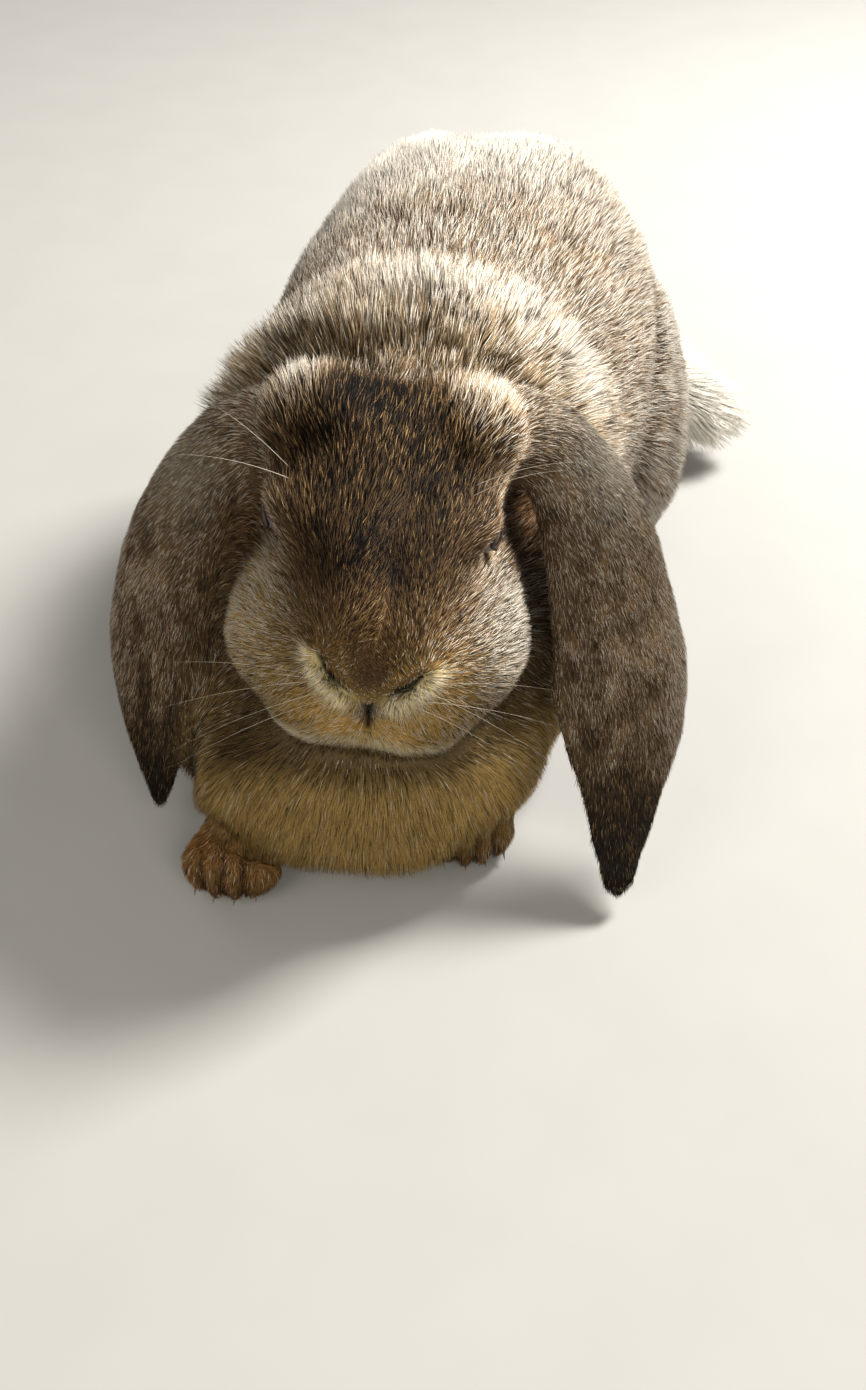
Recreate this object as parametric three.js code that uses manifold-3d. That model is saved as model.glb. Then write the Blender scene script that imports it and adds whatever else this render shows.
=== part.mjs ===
// A resting French Lop rabbit at life size, as a still museum model.
// Millimetres, +Z up. The face looks towards -Y, the animal's left side is +X.
// The floor is z = 0, and every outer surface is the tips of the coat.
import * as THREE from 'three';
import { mergeVertices } from 'three/addons/utils/BufferGeometryUtils.js';
import Module from 'manifold-3d';

const wasm = await Module();
wasm.setup();

// ---- driving dimensions -------------------------------------------------
const HEAD_PIVOT = [7, 106, 130]; // where skull meets neck, and what the head turns about
const HEAD_TURN = THREE.MathUtils.degToRad(-5); // the nose swings to the animal's right
const HEAD_ROLL = THREE.MathUtils.degToRad(3); // the left cheek hangs a little lower
const EYE_RADIUS = 9.5;
const EYE_AT = [38, 65, 155]; // in the head's own frame, left eye
const EYE_DISH = [11, 14, 10.5]; // hollow in the coat round each eye
const GAP = 0.3; // width of the thin cuts between neighbouring parts
const SLACK = 0.9; // how much wider a hole is cut than the part that fills it
const WELD = 0.02; // corners closer than this are one
const FLOOR_REACH = 900; // half the size of the cutting blocks
const BELLY_LIFT = 1.5; // the trunk's and chest's coat stops this far above the floor
const CLAW_LENGTH = 13;
const CLAW_RADIUS = 2.3;
const CLAW_RISE = 7; // height of a claw's middle
const CLAW_DROOP = 16; // degrees
const LIMB_MARGIN = 40; // room round a limb's joints for its own surface

// cell sizes of the faceted surfaces, finest where the form is finest
const HEAD_CELL = 9.5;
const NECK_CELL = 15;
const CHEST_CELL = 18;
const TRUNK_CELL = 24;
const LIMB_CELL = 10;
const TAIL_CELL = 13;

// ---- the shape as a distance field --------------------------------------
// A blob is an egg: centre, three radii, how softly it melts into the ones before it, and its turns.
function blob(at, radii, melt, yaw = 0, pitch = 0) {
  const turn = new THREE.Matrix4().makeRotationFromEuler(
    new THREE.Euler(THREE.MathUtils.degToRad(pitch), 0, THREE.MathUtils.degToRad(yaw), 'ZXY'),
  );
  return { at, radii, melt, back: turn.transpose().elements };
}

// The same blob on both sides of the middle plane x = middle.
function twins([x, y, z], radii, melt, yaw = 0, pitch = 0, middle = 0) {
  return [
    blob([middle + x, y, z], radii, melt, yaw, pitch),
    blob([middle - x, y, z], radii, melt, -yaw, pitch),
  ];
}

// Distance to an egg, negative inside.
function eggDistance({ at, radii, back }, [x, y, z]) {
  const dx = x - at[0];
  const dy = y - at[1];
  const dz = z - at[2];
  const a = (back[0] * dx + back[4] * dy + back[8] * dz) / radii[0];
  const b = (back[1] * dx + back[5] * dy + back[9] * dz) / radii[1];
  const c = (back[2] * dx + back[6] * dy + back[10] * dz) / radii[2];
  const near = Math.hypot(a, b, c);
  const slope = Math.hypot(a / radii[0], b / radii[1], c / radii[2]);
  return slope < 1e-9 ? -Math.min(...radii) : (near * (near - 1)) / slope;
}

// The lesser of two distances, rounded over a band of width melt.
function melted(a, b, melt) {
  const share = Math.max(melt - Math.abs(a - b), 0) / melt;
  return Math.min(a, b) - (share * share * melt) / 4;
}

function blobField(blobs) {
  return (point) => {
    let distance = Infinity;
    for (const each of blobs) {
      const here = eggDistance(each, point);
      distance = distance === Infinity ? here : melted(distance, here, each.melt);
    }
    return distance;
  };
}

// A chain of balls from joint to joint, each joint [x, y, z, radius].
function limbField(joints, melt) {
  return (point) => {
    let distance = Infinity;
    for (let i = 1; i < joints.length; i += 1) {
      const [from, to] = [joints[i - 1], joints[i]];
      const along = [0, 1, 2].map((k) => to[k] - from[k]);
      const away = [0, 1, 2].map((k) => point[k] - from[k]);
      const length = along.reduce((sum, v) => sum + v * v, 0);
      const dot = along.reduce((sum, v, k) => sum + v * away[k], 0);
      const t = THREE.MathUtils.clamp(dot / length, 0, 1);
      const radius = THREE.MathUtils.lerp(from[3], to[3], t);
      const here = Math.hypot(...away.map((v, k) => v - t * along[k])) - radius;
      distance = distance === Infinity ? here : melted(distance, here, melt);
    }
    return distance;
  };
}

const joinFields = (melt, ...fields) => (point) =>
  fields.map((field) => field(point)).reduce((a, b) => melted(a, b, melt));

// ---- the head's own frame -----------------------------------------------
const headMatrix = new THREE.Matrix4()
  .makeTranslation(...HEAD_PIVOT)
  .multiply(new THREE.Matrix4().makeRotationZ(HEAD_TURN))
  .multiply(new THREE.Matrix4().makeRotationY(HEAD_ROLL))
  .multiply(new THREE.Matrix4().makeTranslation(0, -HEAD_PIVOT[1], -HEAD_PIVOT[2]));
const headInverse = headMatrix.clone().invert();

function inHead(point) {
  return new THREE.Vector3(...point).applyMatrix4(headInverse).toArray();
}

function outOfHead(point) {
  return new THREE.Vector3(...point).applyMatrix4(headMatrix).toArray();
}

// ---- flesh --------------------------------------------------------------
const skull = [
  blob([0, 86, 157], [44, 43, 44], 1), // brain case
  blob([0, 60, 148], [40, 42, 31], 14, 0, -30), // forehead
  blob([0, 36, 129], [34, 38, 28], 14, 0, -42), // arched bridge of the nose
  blob([0, 36, 110], [49, 35, 27], 12), // broad muzzle
  ...twins([33, 54, 109], [29, 38, 30], 12), // cheeks
  ...twins([33, 84, 122], [27, 34, 40], 12), // jowls behind them
  ...twins([29, 62, 166], [19, 21, 14], 9), // brows over the eyes
  ...twins([28, 92, 180], [27, 26, 26], 9), // swellings where the ears are rooted
  ...twins([18, 15, 104], [22, 17, 17], 7), // whisker pads
  blob([0, 14, 120], [16, 15, 13], 7), // tip of the nose
  blob([0, 27, 92], [30, 22, 13], 6), // chin
  blob([0, 84, 112], [44, 42, 30], 14), // throat
];

const ruff = [
  blob([12, 147, 134], [92, 32, 79], 1, 0, -8),
  blob([10, 122, 128], [70, 38, 62], 14),
];

const chest = [
  blob([0, 46, 50], [80, 52, 46], 1), // dewlap
  blob([6, 102, 64], [86, 62, 62], 26), // breast
  ...twins([60, 112, 72], [40, 50, 66], 22, 0, 0, 10), // shoulders
];

const trunk = [
  blob([18, 172, 110], [84, 66, 94], 1), // withers and ribs
  blob([35, 226, 112], [95, 78, 105], 40), // barrel
  blob([50, 282, 110], [100, 82, 106], 40), // loin and rump
  ...twins([27, 288, 165], [40, 58, 53], 20, 0, 0, 49), // the hip on each side of the back
  blob([82, 312, 84], [72, 58, 72], 30), // buttocks, swung to the left
  blob([112, 280, 70], [50, 76, 74], 14, 8), // left thigh
  blob([-24, 270, 68], [50, 76, 74], 14, -14), // right thigh
  blob([40, 230, 40], [84, 100, 36], 20), // belly
];

const skullField = blobField(skull);
const ruffField = blobField(ruff);
const chestField = blobField(chest);
const trunkField = blobField(trunk);
const dishes = [1, -1].map((side) =>
  blob([side * (EYE_AT[0] + 10), EYE_AT[1], EYE_AT[2] - 1], EYE_DISH, 1),
);

// The head with a hollow for each eye.
function headField(point) {
  const local = inHead(point);
  let distance = skullField(local);
  for (const dish of dishes) {
    distance = -melted(-distance, eggDistance(dish, local), 5);
  }
  return distance;
}

const flesh = joinFields(
  4,
  joinFields(6, headField, ruffField),
  joinFields(12, chestField, trunkField),
);

// ---- turning a field into a closed faceted solid ------------------------
const CELL_CORNERS = [0, 1, 2, 3, 4, 5, 6, 7].map((n) => [n & 1, (n >> 1) & 1, n >> 2]);
const CELL_EDGES = CELL_CORNERS.flatMap((_, n) =>
  [1, 2, 4].filter((bit) => !(n & bit)).map((bit) => [n, n | bit]),
);

// One vertex for each cell that the surface passes through, drawn onto the surface,
// and one four-sided face for each grid edge that it crosses.
function netSurface(field, [low, high], cell) {
  const count = low.map((v, k) => Math.ceil((high[k] - v) / cell) + 1);
  const at = (i, j, k) => (k * count[1] + j) * count[0] + i;
  const place = (i, j, k) => [low[0] + i * cell, low[1] + j * cell, low[2] + k * cell];
  const values = new Float64Array(count[0] * count[1] * count[2]);
  for (let k = 0; k < count[2]; k += 1) {
    for (let j = 0; j < count[1]; j += 1) {
      for (let i = 0; i < count[0]; i += 1) {
        const edge = [i, j, k].some((v, n) => v === 0 || v === count[n] - 1);
        const value = field(place(i, j, k));
        values[at(i, j, k)] = edge ? Math.max(value, cell / 2) : value;
      }
    }
  }
  const positions = [];
  const vertexOf = new Map();
  for (let k = 0; k < count[2] - 1; k += 1) {
    for (let j = 0; j < count[1] - 1; j += 1) {
      for (let i = 0; i < count[0] - 1; i += 1) {
        const corners = CELL_CORNERS.map(([a, b, c]) => values[at(i + a, j + b, k + c)]);
        const sum = [0, 0, 0];
        let crossings = 0;
        for (const [a, b] of CELL_EDGES) {
          if (corners[a] < 0 === corners[b] < 0) continue;
          const t = corners[a] / (corners[a] - corners[b]);
          for (let n = 0; n < 3; n += 1) {
            sum[n] += THREE.MathUtils.lerp(CELL_CORNERS[a][n], CELL_CORNERS[b][n], t);
          }
          crossings += 1;
        }
        if (!crossings) continue;
        const start = place(i, j, k).map((v, n) => v + (sum[n] / crossings) * cell);
        const inner = [i, j, k].every((v, n) => v > 1 && v < count[n] - 3);
        vertexOf.set(at(i, j, k), positions.length / 3);
        positions.push(...(inner ? drawnOnto(field, start, cell) : start));
      }
    }
  }
  return closedGeometry(positions, netFaces(values, vertexOf, count, at));
}

// A point moved onto the surface along the field's slope.
function drawnOnto(field, start, cell) {
  let point = start;
  for (let step = 0; step < 3; step += 1) {
    const value = field(point);
    const slope = point.map((_, n) => {
      const beside = point.map((v, m) => (m === n ? v + 0.1 : v));
      return (field(beside) - value) / 0.1;
    });
    const steepness = slope.reduce((sum, v) => sum + v * v, 0);
    point = point.map((v, n) => v - (value * slope[n]) / Math.max(steepness, 0.2));
  }
  const moved = Math.hypot(...point.map((v, n) => v - start[n]));
  return moved < cell * 0.6 ? point : start;
}

function netFaces(values, vertexOf, count, at) {
  const faces = [];
  const strides = [1, count[0], count[0] * count[1]];
  for (let k = 0; k < count[2] - 1; k += 1) {
    for (let j = 0; j < count[1] - 1; j += 1) {
      for (let i = 0; i < count[0] - 1; i += 1) {
        const here = at(i, j, k);
        for (let axis = 0; axis < 3; axis += 1) {
          const inside = values[here] < 0;
          if (inside === values[here + strides[axis]] < 0) continue;
          const [u, v] = [strides[(axis + 1) % 3], strides[(axis + 2) % 3]];
          const ring = [here - u - v, here - v, here, here - u].map((n) => vertexOf.get(n));
          const [a, b, c, d] = inside ? ring : ring.reverse();
          faces.push(a, b, c, a, c, d);
        }
      }
    }
  }
  return faces;
}

function closedGeometry(positions, faces) {
  const geometry = new THREE.BufferGeometry();
  geometry.setAttribute('position', new THREE.Float32BufferAttribute(positions, 3));
  geometry.setIndex(faces);
  return geometry;
}

// ---- solids, joins and cuts ---------------------------------------------
function solidOf(source) {
  const bare = source.clone();
  bare.deleteAttribute('normal');
  bare.deleteAttribute('uv');
  const merged = mergeVertices(bare, 1e-4);
  return new wasm.Manifold(
    new wasm.Mesh({
      numProp: 3,
      vertProperties: merged.attributes.position.array,
      triVerts: new Uint32Array(merged.index.array),
    }),
  );
}

// The solid's faces, with corners closer than WELD made one and the slivers between them dropped.
function geometryOf(solid) {
  const { vertProperties, triVerts } = solid.getMesh();
  const raw = closedGeometry(Array.from(vertProperties), Array.from(triVerts));
  const welded = mergeVertices(raw, WELD);
  const corners = welded.index.array;
  const faces = [];
  for (let n = 0; n < corners.length; n += 3) {
    const [a, b, c] = corners.slice(n, n + 3);
    if (a !== b && b !== c && c !== a) faces.push(a, b, c);
  }
  return closedGeometry(Array.from(welded.attributes.position.array), faces);
}

// Everything on the far side of a plane: point on it, direction away from it, and a shift along that.
function beyond(point, direction, shift = 0) {
  const away = new THREE.Vector3(...direction).normalize();
  const block = new THREE.BoxGeometry(2 * FLOOR_REACH, 2 * FLOOR_REACH, 2 * FLOOR_REACH);
  block.applyQuaternion(
    new THREE.Quaternion().setFromUnitVectors(new THREE.Vector3(0, 0, 1), away),
  );
  const centre = new THREE.Vector3(...point).addScaledVector(away, FLOOR_REACH + shift);
  return solidOf(block.translate(...centre));
}

function eggSolid({ at, radii, back }, grow) {
  const ball = new THREE.SphereGeometry(1, 20, 12);
  ball.scale(...radii.map((r) => r + grow));
  ball.applyMatrix4(new THREE.Matrix4().fromArray(back).transpose());
  return solidOf(ball.translate(...at));
}

const aboveFloor = beyond([0, 0, 0], [0, 0, 1]);
const offFloor = beyond([0, 0, BELLY_LIFT], [0, 0, 1]);

function fleshSolid(box, cell, grow = 0) {
  return solidOf(netSurface((point) => flesh(point) - grow, box, cell));
}

// planes that part head, neck, chest and trunk: a point and the direction of the hinder or lower part
const NAPE = [outOfHead([0, 119, 160]), [0.08, 1, -0.2]];
const THROAT = [[0, 50, 86], [0, 0.04, -1]];
const WITHERS = [[12, 170, 120], [0.16, 1, 0.1]];
const opposite = ([point, direction]) => [point, direction.map((v) => -v)];
const half = (plane) => beyond(...plane, GAP / 2);

const HEAD_BOX = [[-95, -30, 55], [110, 150, 235]];
const NECK_BOX = [[-115, 75, 50], [140, 215, 250]];
const CHEST_BOX = [[-115, -35, -30], [140, 215, 120]];
const TRUNK_BOX = [[-110, 125, -40], [215, 400, 270]];

// ---- limbs --------------------------------------------------------------
// Each foot lies flat on the floor: where the front of its toes is, which way it points
// (degrees from -Y towards +X), and the joints behind its toes as [x, y, z, radius].
const FEET = {
  fore_right: { toe: [-61, -2], yaw: -8, bones: [[-57, 48, 21, 17], [-50, 80, 44, 21]] },
  fore_left: { toe: [44, 17], yaw: 10, bones: [[44, 60, 21, 17], [54, 88, 44, 21]] },
  hind_right: { toe: [-40, 188], yaw: -5, bones: [[-32, 316, 15, 17]] },
  hind_left: { toe: [122, 204], yaw: 12, bones: [[104, 330, 15, 17]] },
};
const PAD_RADIUS = 15; // half the height and depth of the ball of the foot
const PAD_SPREAD = 8; // half its breadth beyond that
const PAD_RISE = 12; // height of its middle, so that a flat is left on the floor
const CLAW_SPREAD = 9; // between neighbouring claws

function footFrame({ toe, yaw }) {
  return new THREE.Matrix4()
    .makeTranslation(toe[0], toe[1], 0)
    .multiply(new THREE.Matrix4().makeRotationZ(THREE.MathUtils.degToRad(yaw)));
}

function footField(foot) {
  const pad = [1, -1].map((side) => {
    const middle = new THREE.Vector3(side * PAD_SPREAD, PAD_RADIUS, PAD_RISE);
    return [...middle.applyMatrix4(footFrame(foot)).toArray(), PAD_RADIUS];
  });
  const wrist = pad[0].map((v, n) => (v + pad[1][n]) / 2);
  return joinFields(8, limbField(pad, 1), limbField([wrist, ...foot.bones], 10));
}

function clawSolids(foot) {
  return [-1.5, -0.5, 0.5, 1.5].map((step) => {
    const claw = new THREE.ConeGeometry(CLAW_RADIUS, CLAW_LENGTH, 6);
    claw.rotateX(THREE.MathUtils.degToRad(180 + CLAW_DROOP));
    claw.translate(step * CLAW_SPREAD, step * step * 1.6 - 1, CLAW_RISE);
    return solidOf(claw.applyMatrix4(footFrame(foot)));
  });
}

const onFloor = (solid) => solid.intersect(aboveFloor);

function footSolid(foot, grow = 0) {
  const points = [foot.toe, ...foot.bones];
  const low = [0, 1].map((k) => Math.min(...points.map((p) => p[k])) - LIMB_MARGIN);
  const high = [0, 1].map((k) => Math.max(...points.map((p) => p[k])) + LIMB_MARGIN);
  const top = Math.max(...foot.bones.map((p) => p[2])) + LIMB_MARGIN;
  const field = footField(foot);
  return solidOf(netSurface((p) => field(p) - grow, [[...low, -25], [...high, top]], LIMB_CELL));
}

// ---- tail ---------------------------------------------------------------
const TAIL_JOINTS = [[112, 352, 66, 20], [152, 362, 44, 21], [186, 352, 32, 17]];
const tailField = limbField(TAIL_JOINTS, 8);
const TAIL_BOX = [[70, 310, -10], [225, 405, 105]];
const tailSolid = (grow) =>
  onFloor(solidOf(netSurface((point) => tailField(point) - grow, TAIL_BOX, TAIL_CELL)));

// ---- ears ---------------------------------------------------------------
// Points down the middle of each ear from inside the head to the tip, and which way its width runs.
const EARS = {
  ear_right: {
    line: [[-24, 104, 182], [-54, 106, 170], [-82, 92, 132], [-94, 74, 92], [-97, 58, 56], [-98, 43, 12]],
    across: [-0.76, 0.65, 0],
  },
  ear_left: {
    line: [[36, 100, 182], [68, 104, 172], [95, 84, 137], [102, 60, 101], [105, 34, 62], [103, -6, 8]],
    across: [0.87, 0.5, 0],
  },
};
// along the ear: share of its length, half its width, half its thickness, how far its edges curl in
const EAR_PROFILE = [
  [0, 17, 14, 0],
  [0.16, 22, 14, 2],
  [0.3, 27, 12, 5],
  [0.46, 33, 9, 8],
  [0.62, 34, 8, 8],
  [0.75, 29, 7, 6],
  [0.86, 20, 5.5, 3],
  [0.95, 10, 4, 1],
  [1, 4, 2.5, 0],
];
const EAR_STATIONS = 13;
const EAR_SIDES = 12;

function profileAt(share) {
  const next = EAR_PROFILE.findIndex(([s]) => s >= share) || 1;
  const [a, b] = [EAR_PROFILE[next - 1], EAR_PROFILE[next]];
  const t = (share - a[0]) / (b[0] - a[0]);
  return a.map((v, n) => THREE.MathUtils.lerp(v, b[n], t)).slice(1);
}

function earSolid({ line, across }, grow = 0) {
  const curve = new THREE.CatmullRomCurve3(line.map((p) => new THREE.Vector3(...p)));
  const positions = [];
  const faces = [];
  for (let n = 0; n <= EAR_STATIONS; n += 1) {
    const share = n / EAR_STATIONS;
    const [wide, thick, curl] = profileAt(share);
    const centre = curve.getPointAt(share);
    const down = curve.getTangentAt(share);
    const side = new THREE.Vector3(...across);
    side.addScaledVector(down, -side.dot(down)).normalize();
    const inward = new THREE.Vector3().crossVectors(down, side).normalize();
    if (inward.x * centre.x > 0) inward.negate();
    for (let m = 0; m < EAR_SIDES; m += 1) {
      const angle = (m / EAR_SIDES) * 2 * Math.PI;
      const offside = Math.cos(angle) * (wide + grow);
      const depth = Math.sin(angle) * (thick + grow) + curl * Math.cos(angle) ** 2 - curl / 2;
      const point = centre.clone().addScaledVector(side, offside).addScaledVector(inward, depth);
      positions.push(...point.toArray());
    }
  }
  for (const [n, end] of [[0, 0], [1, EAR_STATIONS]]) {
    const centre = curve.getPointAt(n);
    positions.push(...centre.toArray());
    const hub = (EAR_STATIONS + 1) * EAR_SIDES + n;
    for (let m = 0; m < EAR_SIDES; m += 1) {
      const rim = [end * EAR_SIDES + m, end * EAR_SIDES + ((m + 1) % EAR_SIDES)];
      faces.push(hub, ...(n ? rim : rim.reverse()));
    }
  }
  for (let n = 0; n < EAR_STATIONS; n += 1) {
    for (let m = 0; m < EAR_SIDES; m += 1) {
      const a = n * EAR_SIDES + m;
      const b = n * EAR_SIDES + ((m + 1) % EAR_SIDES);
      faces.push(a, b, b + EAR_SIDES, a, b + EAR_SIDES, a + EAR_SIDES);
    }
  }
  const solid = solidOf(closedGeometry(positions, faces));
  if (solid.volume() > 0) return solid;
  return solidOf(closedGeometry(positions, faces.reverse()));
}

// ---- eyes ---------------------------------------------------------------
function eyeSolid(side, grow = 0) {
  const ball = new THREE.SphereGeometry(EYE_RADIUS + grow, 12, 9);
  return solidOf(ball.translate(...outOfHead([side * EYE_AT[0], EYE_AT[1], EYE_AT[2]])));
}

// ---- cutting the flesh into its parts -----------------------------------
const without = (solid, ...holes) => holes.reduce((rest, hole) => rest.subtract(hole), solid);
const joined = (...solids) => solids.reduce((whole, solid) => whole.add(solid));
const within = (solid, ...bounds) => bounds.reduce((rest, bound) => rest.intersect(bound), solid);

const eyeHoles = [1, -1].map((side) => eyeSolid(side, GAP));
const thighEggs = [
  blob([-42, 268, 44], [58, 84, 108], 1, -14),
  blob([134, 280, 48], [58, 84, 108], 1, 8),
];

const parts = {};
parts.head = without(
  within(fleshSolid(HEAD_BOX, HEAD_CELL), half(opposite(NAPE)), half(opposite(THROAT))),
  ...eyeHoles,
);
parts.neck = within(
  fleshSolid(NECK_BOX, NECK_CELL),
  half(NAPE),
  half(opposite(THROAT)),
  half(opposite(WITHERS)),
);
parts.chest = without(
  within(fleshSolid(CHEST_BOX, CHEST_CELL), half(THROAT), half(opposite(WITHERS)), offFloor),
  footSolid(FEET.fore_right, SLACK),
  footSolid(FEET.fore_left, SLACK),
);
const hinder = within(fleshSolid(TRUNK_BOX, TRUNK_CELL), half(WITHERS), offFloor);
parts.trunk = without(
  hinder,
  ...thighEggs.map((egg) => eggSolid(egg, GAP)),
  footSolid(FEET.hind_right, SLACK),
  footSolid(FEET.hind_left, SLACK),
);
for (const [n, side] of [[0, 'right'], [1, 'left']]) {
  const sign = n ? 1 : -1;
  const forefoot = FEET[`fore_${side}`];
  const hindFoot = FEET[`hind_${side}`];
  const thigh = within(hinder, eggSolid(thighEggs[n], 0));
  parts[`foreleg_${side}`] = onFloor(joined(footSolid(forefoot), ...clawSolids(forefoot)));
  parts[`hind_leg_${side}`] = onFloor(joined(thigh, footSolid(hindFoot), ...clawSolids(hindFoot)));
  parts[`eye_${side}`] = eyeSolid(sign);
  parts[`ear_${side}`] = without(
    earSolid(EARS[`ear_${side}`]),
    fleshSolid(HEAD_BOX, HEAD_CELL, SLACK),
    fleshSolid(NECK_BOX, NECK_CELL, SLACK),
    fleshSolid(CHEST_BOX, CHEST_CELL, SLACK),
  );
}
parts.tail = without(tailSolid(0), fleshSolid(TRUNK_BOX, TRUNK_CELL, SLACK));

// ---- colours and assembly -----------------------------------------------
const COLOURS = {
  head: 0x6b5238,
  neck: 0x8f7b5e,
  chest: 0x8a6540,
  trunk: 0x6f5f4c,
  foreleg: 0x8c5a33,
  hind_leg: 0x7a6a54,
  ear: 0x4a3c2f,
  tail: 0xe6ddd0,
  eye: 0x1c120c,
};

function materialFor(name) {
  const kind = Object.keys(COLOURS).find((key) => name.startsWith(key));
  const roughness = kind === 'eye' ? 0.08 : 0.95;
  return new THREE.MeshStandardMaterial({ color: COLOURS[kind], roughness, metalness: 0 });
}

const animal = new THREE.Group();
for (const [name, solid] of Object.entries(parts)) {
  const mesh = new THREE.Mesh(geometryOf(solid), materialFor(name));
  mesh.name = name;
  animal.add(mesh);
}

// the origin is under the middle of the animal, on the floor
const extent = new THREE.Box3().setFromObject(animal, true);
const middle = extent.getCenter(new THREE.Vector3());
animal.position.set(-middle.x, -middle.y, -extent.min.z);

const model = new THREE.Group();
model.add(animal);

export default model;
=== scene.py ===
import math

import bmesh
import bpy
import numpy as np
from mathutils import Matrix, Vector
from mathutils.bvhtree import BVHTree


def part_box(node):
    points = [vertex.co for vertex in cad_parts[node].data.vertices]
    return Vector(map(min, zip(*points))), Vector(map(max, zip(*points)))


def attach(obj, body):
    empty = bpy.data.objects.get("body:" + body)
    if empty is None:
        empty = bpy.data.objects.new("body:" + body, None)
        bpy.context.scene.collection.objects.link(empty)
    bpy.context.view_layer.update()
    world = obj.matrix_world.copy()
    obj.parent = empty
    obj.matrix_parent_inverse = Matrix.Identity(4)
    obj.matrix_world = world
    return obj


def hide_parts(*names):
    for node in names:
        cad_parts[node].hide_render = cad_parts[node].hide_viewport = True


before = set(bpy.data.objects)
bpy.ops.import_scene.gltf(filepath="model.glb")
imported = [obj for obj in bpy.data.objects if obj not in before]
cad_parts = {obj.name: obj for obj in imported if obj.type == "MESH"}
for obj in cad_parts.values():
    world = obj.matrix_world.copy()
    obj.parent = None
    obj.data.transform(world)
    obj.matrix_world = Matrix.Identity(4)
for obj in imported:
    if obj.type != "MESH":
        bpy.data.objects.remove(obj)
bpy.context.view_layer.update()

# A resting lop-eared rabbit. One skin lies under the coat's tips, and the coat is made of thin solid
# tufts that follow the lie of the hair. The face looks towards -Y, its right side is -X. Metres throughout.

MM = 0.001
FLESH = sorted(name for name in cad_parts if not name.startswith("eye"))
CHANCE = np.random.default_rng(20)


def unit(vectors):
    """Vectors, one or many, at length one."""
    return vectors / np.maximum(np.linalg.norm(vectors, axis=-1, keepdims=True), 1e-12)


def middle(node):
    """The middle of a node's box."""
    low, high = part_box(node)
    return np.array((low + high) / 2)


def srgb(code):
    """A colour written as six hexadecimal digits, as linear red, green and blue."""
    value = np.array([int(code[n:n + 2], 16) / 255 for n in (0, 2, 4)])
    return np.where(value <= 0.04045, value / 12.92, ((value + 0.055) / 1.055) ** 2.4)


# ---------------------------------------------------------------- the head's own frame

EYE_BACK = 65 * MM
EYE_HEIGHT = 155 * MM
EYES = {"right": middle("eye_right"), "left": middle("eye_left")}
HEAD_X = unit(EYES["left"] - EYES["right"])
HEAD_Y = unit(np.cross((0, 0, 1), HEAD_X))
HEAD_Z = np.cross(HEAD_X, HEAD_Y)
HEAD_AXES = np.array([HEAD_X, HEAD_Y, HEAD_Z])
HEAD_ORIGIN = (EYES["left"] + EYES["right"]) / 2 - EYE_BACK * HEAD_Y - EYE_HEIGHT * HEAD_Z


def to_head(points):
    """Places in the head's frame, in millimetres: x to its left, y back from the nose, z up."""
    return (np.asarray(points) - HEAD_ORIGIN) @ HEAD_AXES.T / MM


def from_head(places):
    """The way back from to_head."""
    return HEAD_ORIGIN + np.asarray(places, float) * MM @ HEAD_AXES


def mirrored(centre, *rest):
    """The same entry at the right and at the left of the head."""
    x, y, z = centre
    return [((sign * x, y, z), *rest) for sign in (-1, 1)]


def both(name, value):
    """The same value for the right and the left one of a pair of nodes."""
    return {name + "_right": value, name + "_left": value}


# ---------------------------------------------------------------- fields over the body


NOISE_STEPS = np.array([73856093, 19349663, 83492791])
NOISE_MIX = 1274126177
SEED_STEP = 1013
SEED_SHIFT = 7.13


def noise(points, size, seed):
    """Smooth noise from -1 to 1 whose features are about size across."""
    spot = points / size + seed * SEED_SHIFT
    cell = np.floor(spot).astype(np.int64)
    share = spot - cell
    share = share * share * (3 - 2 * share)
    total = np.zeros(len(points))
    for corner in range(8):
        step = np.array([corner & 1, corner >> 1 & 1, corner >> 2])
        key = (cell + step) @ NOISE_STEPS + seed * SEED_STEP
        key = (key ^ (key >> 13)) * NOISE_MIX & 0xFFFFFFFF
        value = ((key ^ (key >> 16)) & 0xFFFF) / 32767.5 - 1
        total += value * np.prod(np.where(step, share, 1 - share), axis=1)
    return total


def bump(points, centre, size):
    """One at the centre, falling smoothly to nothing about twice the size away."""
    return np.exp(-np.sum(((points - np.asarray(centre)) / np.asarray(size)) ** 2, axis=1))


def ramp(values, low, high):
    """Nought below low, one above high, and smooth between."""
    share = np.clip((values - low) / (high - low), 0, 1)
    return share * share * (3 - 2 * share)


def fall(values, low, high):
    """One below low, nought above high, and smooth between."""
    return 1 - ramp(values, low, high)


def bell(values):
    """One at nought, falling smoothly on either side."""
    return np.exp(-values ** 2)


def line_distance(points, line):
    """Distance to a line of points, the share of the way along it, its direction and place there."""
    best = np.full(len(points), np.inf)
    nearest = np.zeros((len(points), 3))
    along = np.zeros(len(points))
    heading = np.zeros((len(points), 3))
    lengths = [np.linalg.norm(b - a) for a, b in zip(line[:-1], line[1:])]
    done = 0
    for a, b, length in zip(line[:-1], line[1:], lengths):
        share = np.clip((points - a) @ (b - a) / length ** 2, 0, 1)
        place = a + share[:, None] * (b - a)
        distance = np.linalg.norm(points - place, axis=1)
        nearer = distance < best
        nearest[nearer] = place[nearer]
        best = np.where(nearer, distance, best)
        along = np.where(nearer, (done + share * length) / sum(lengths), along)
        heading[nearer] = (b - a) / length
        done += length
    return best, along, heading, nearest


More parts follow.
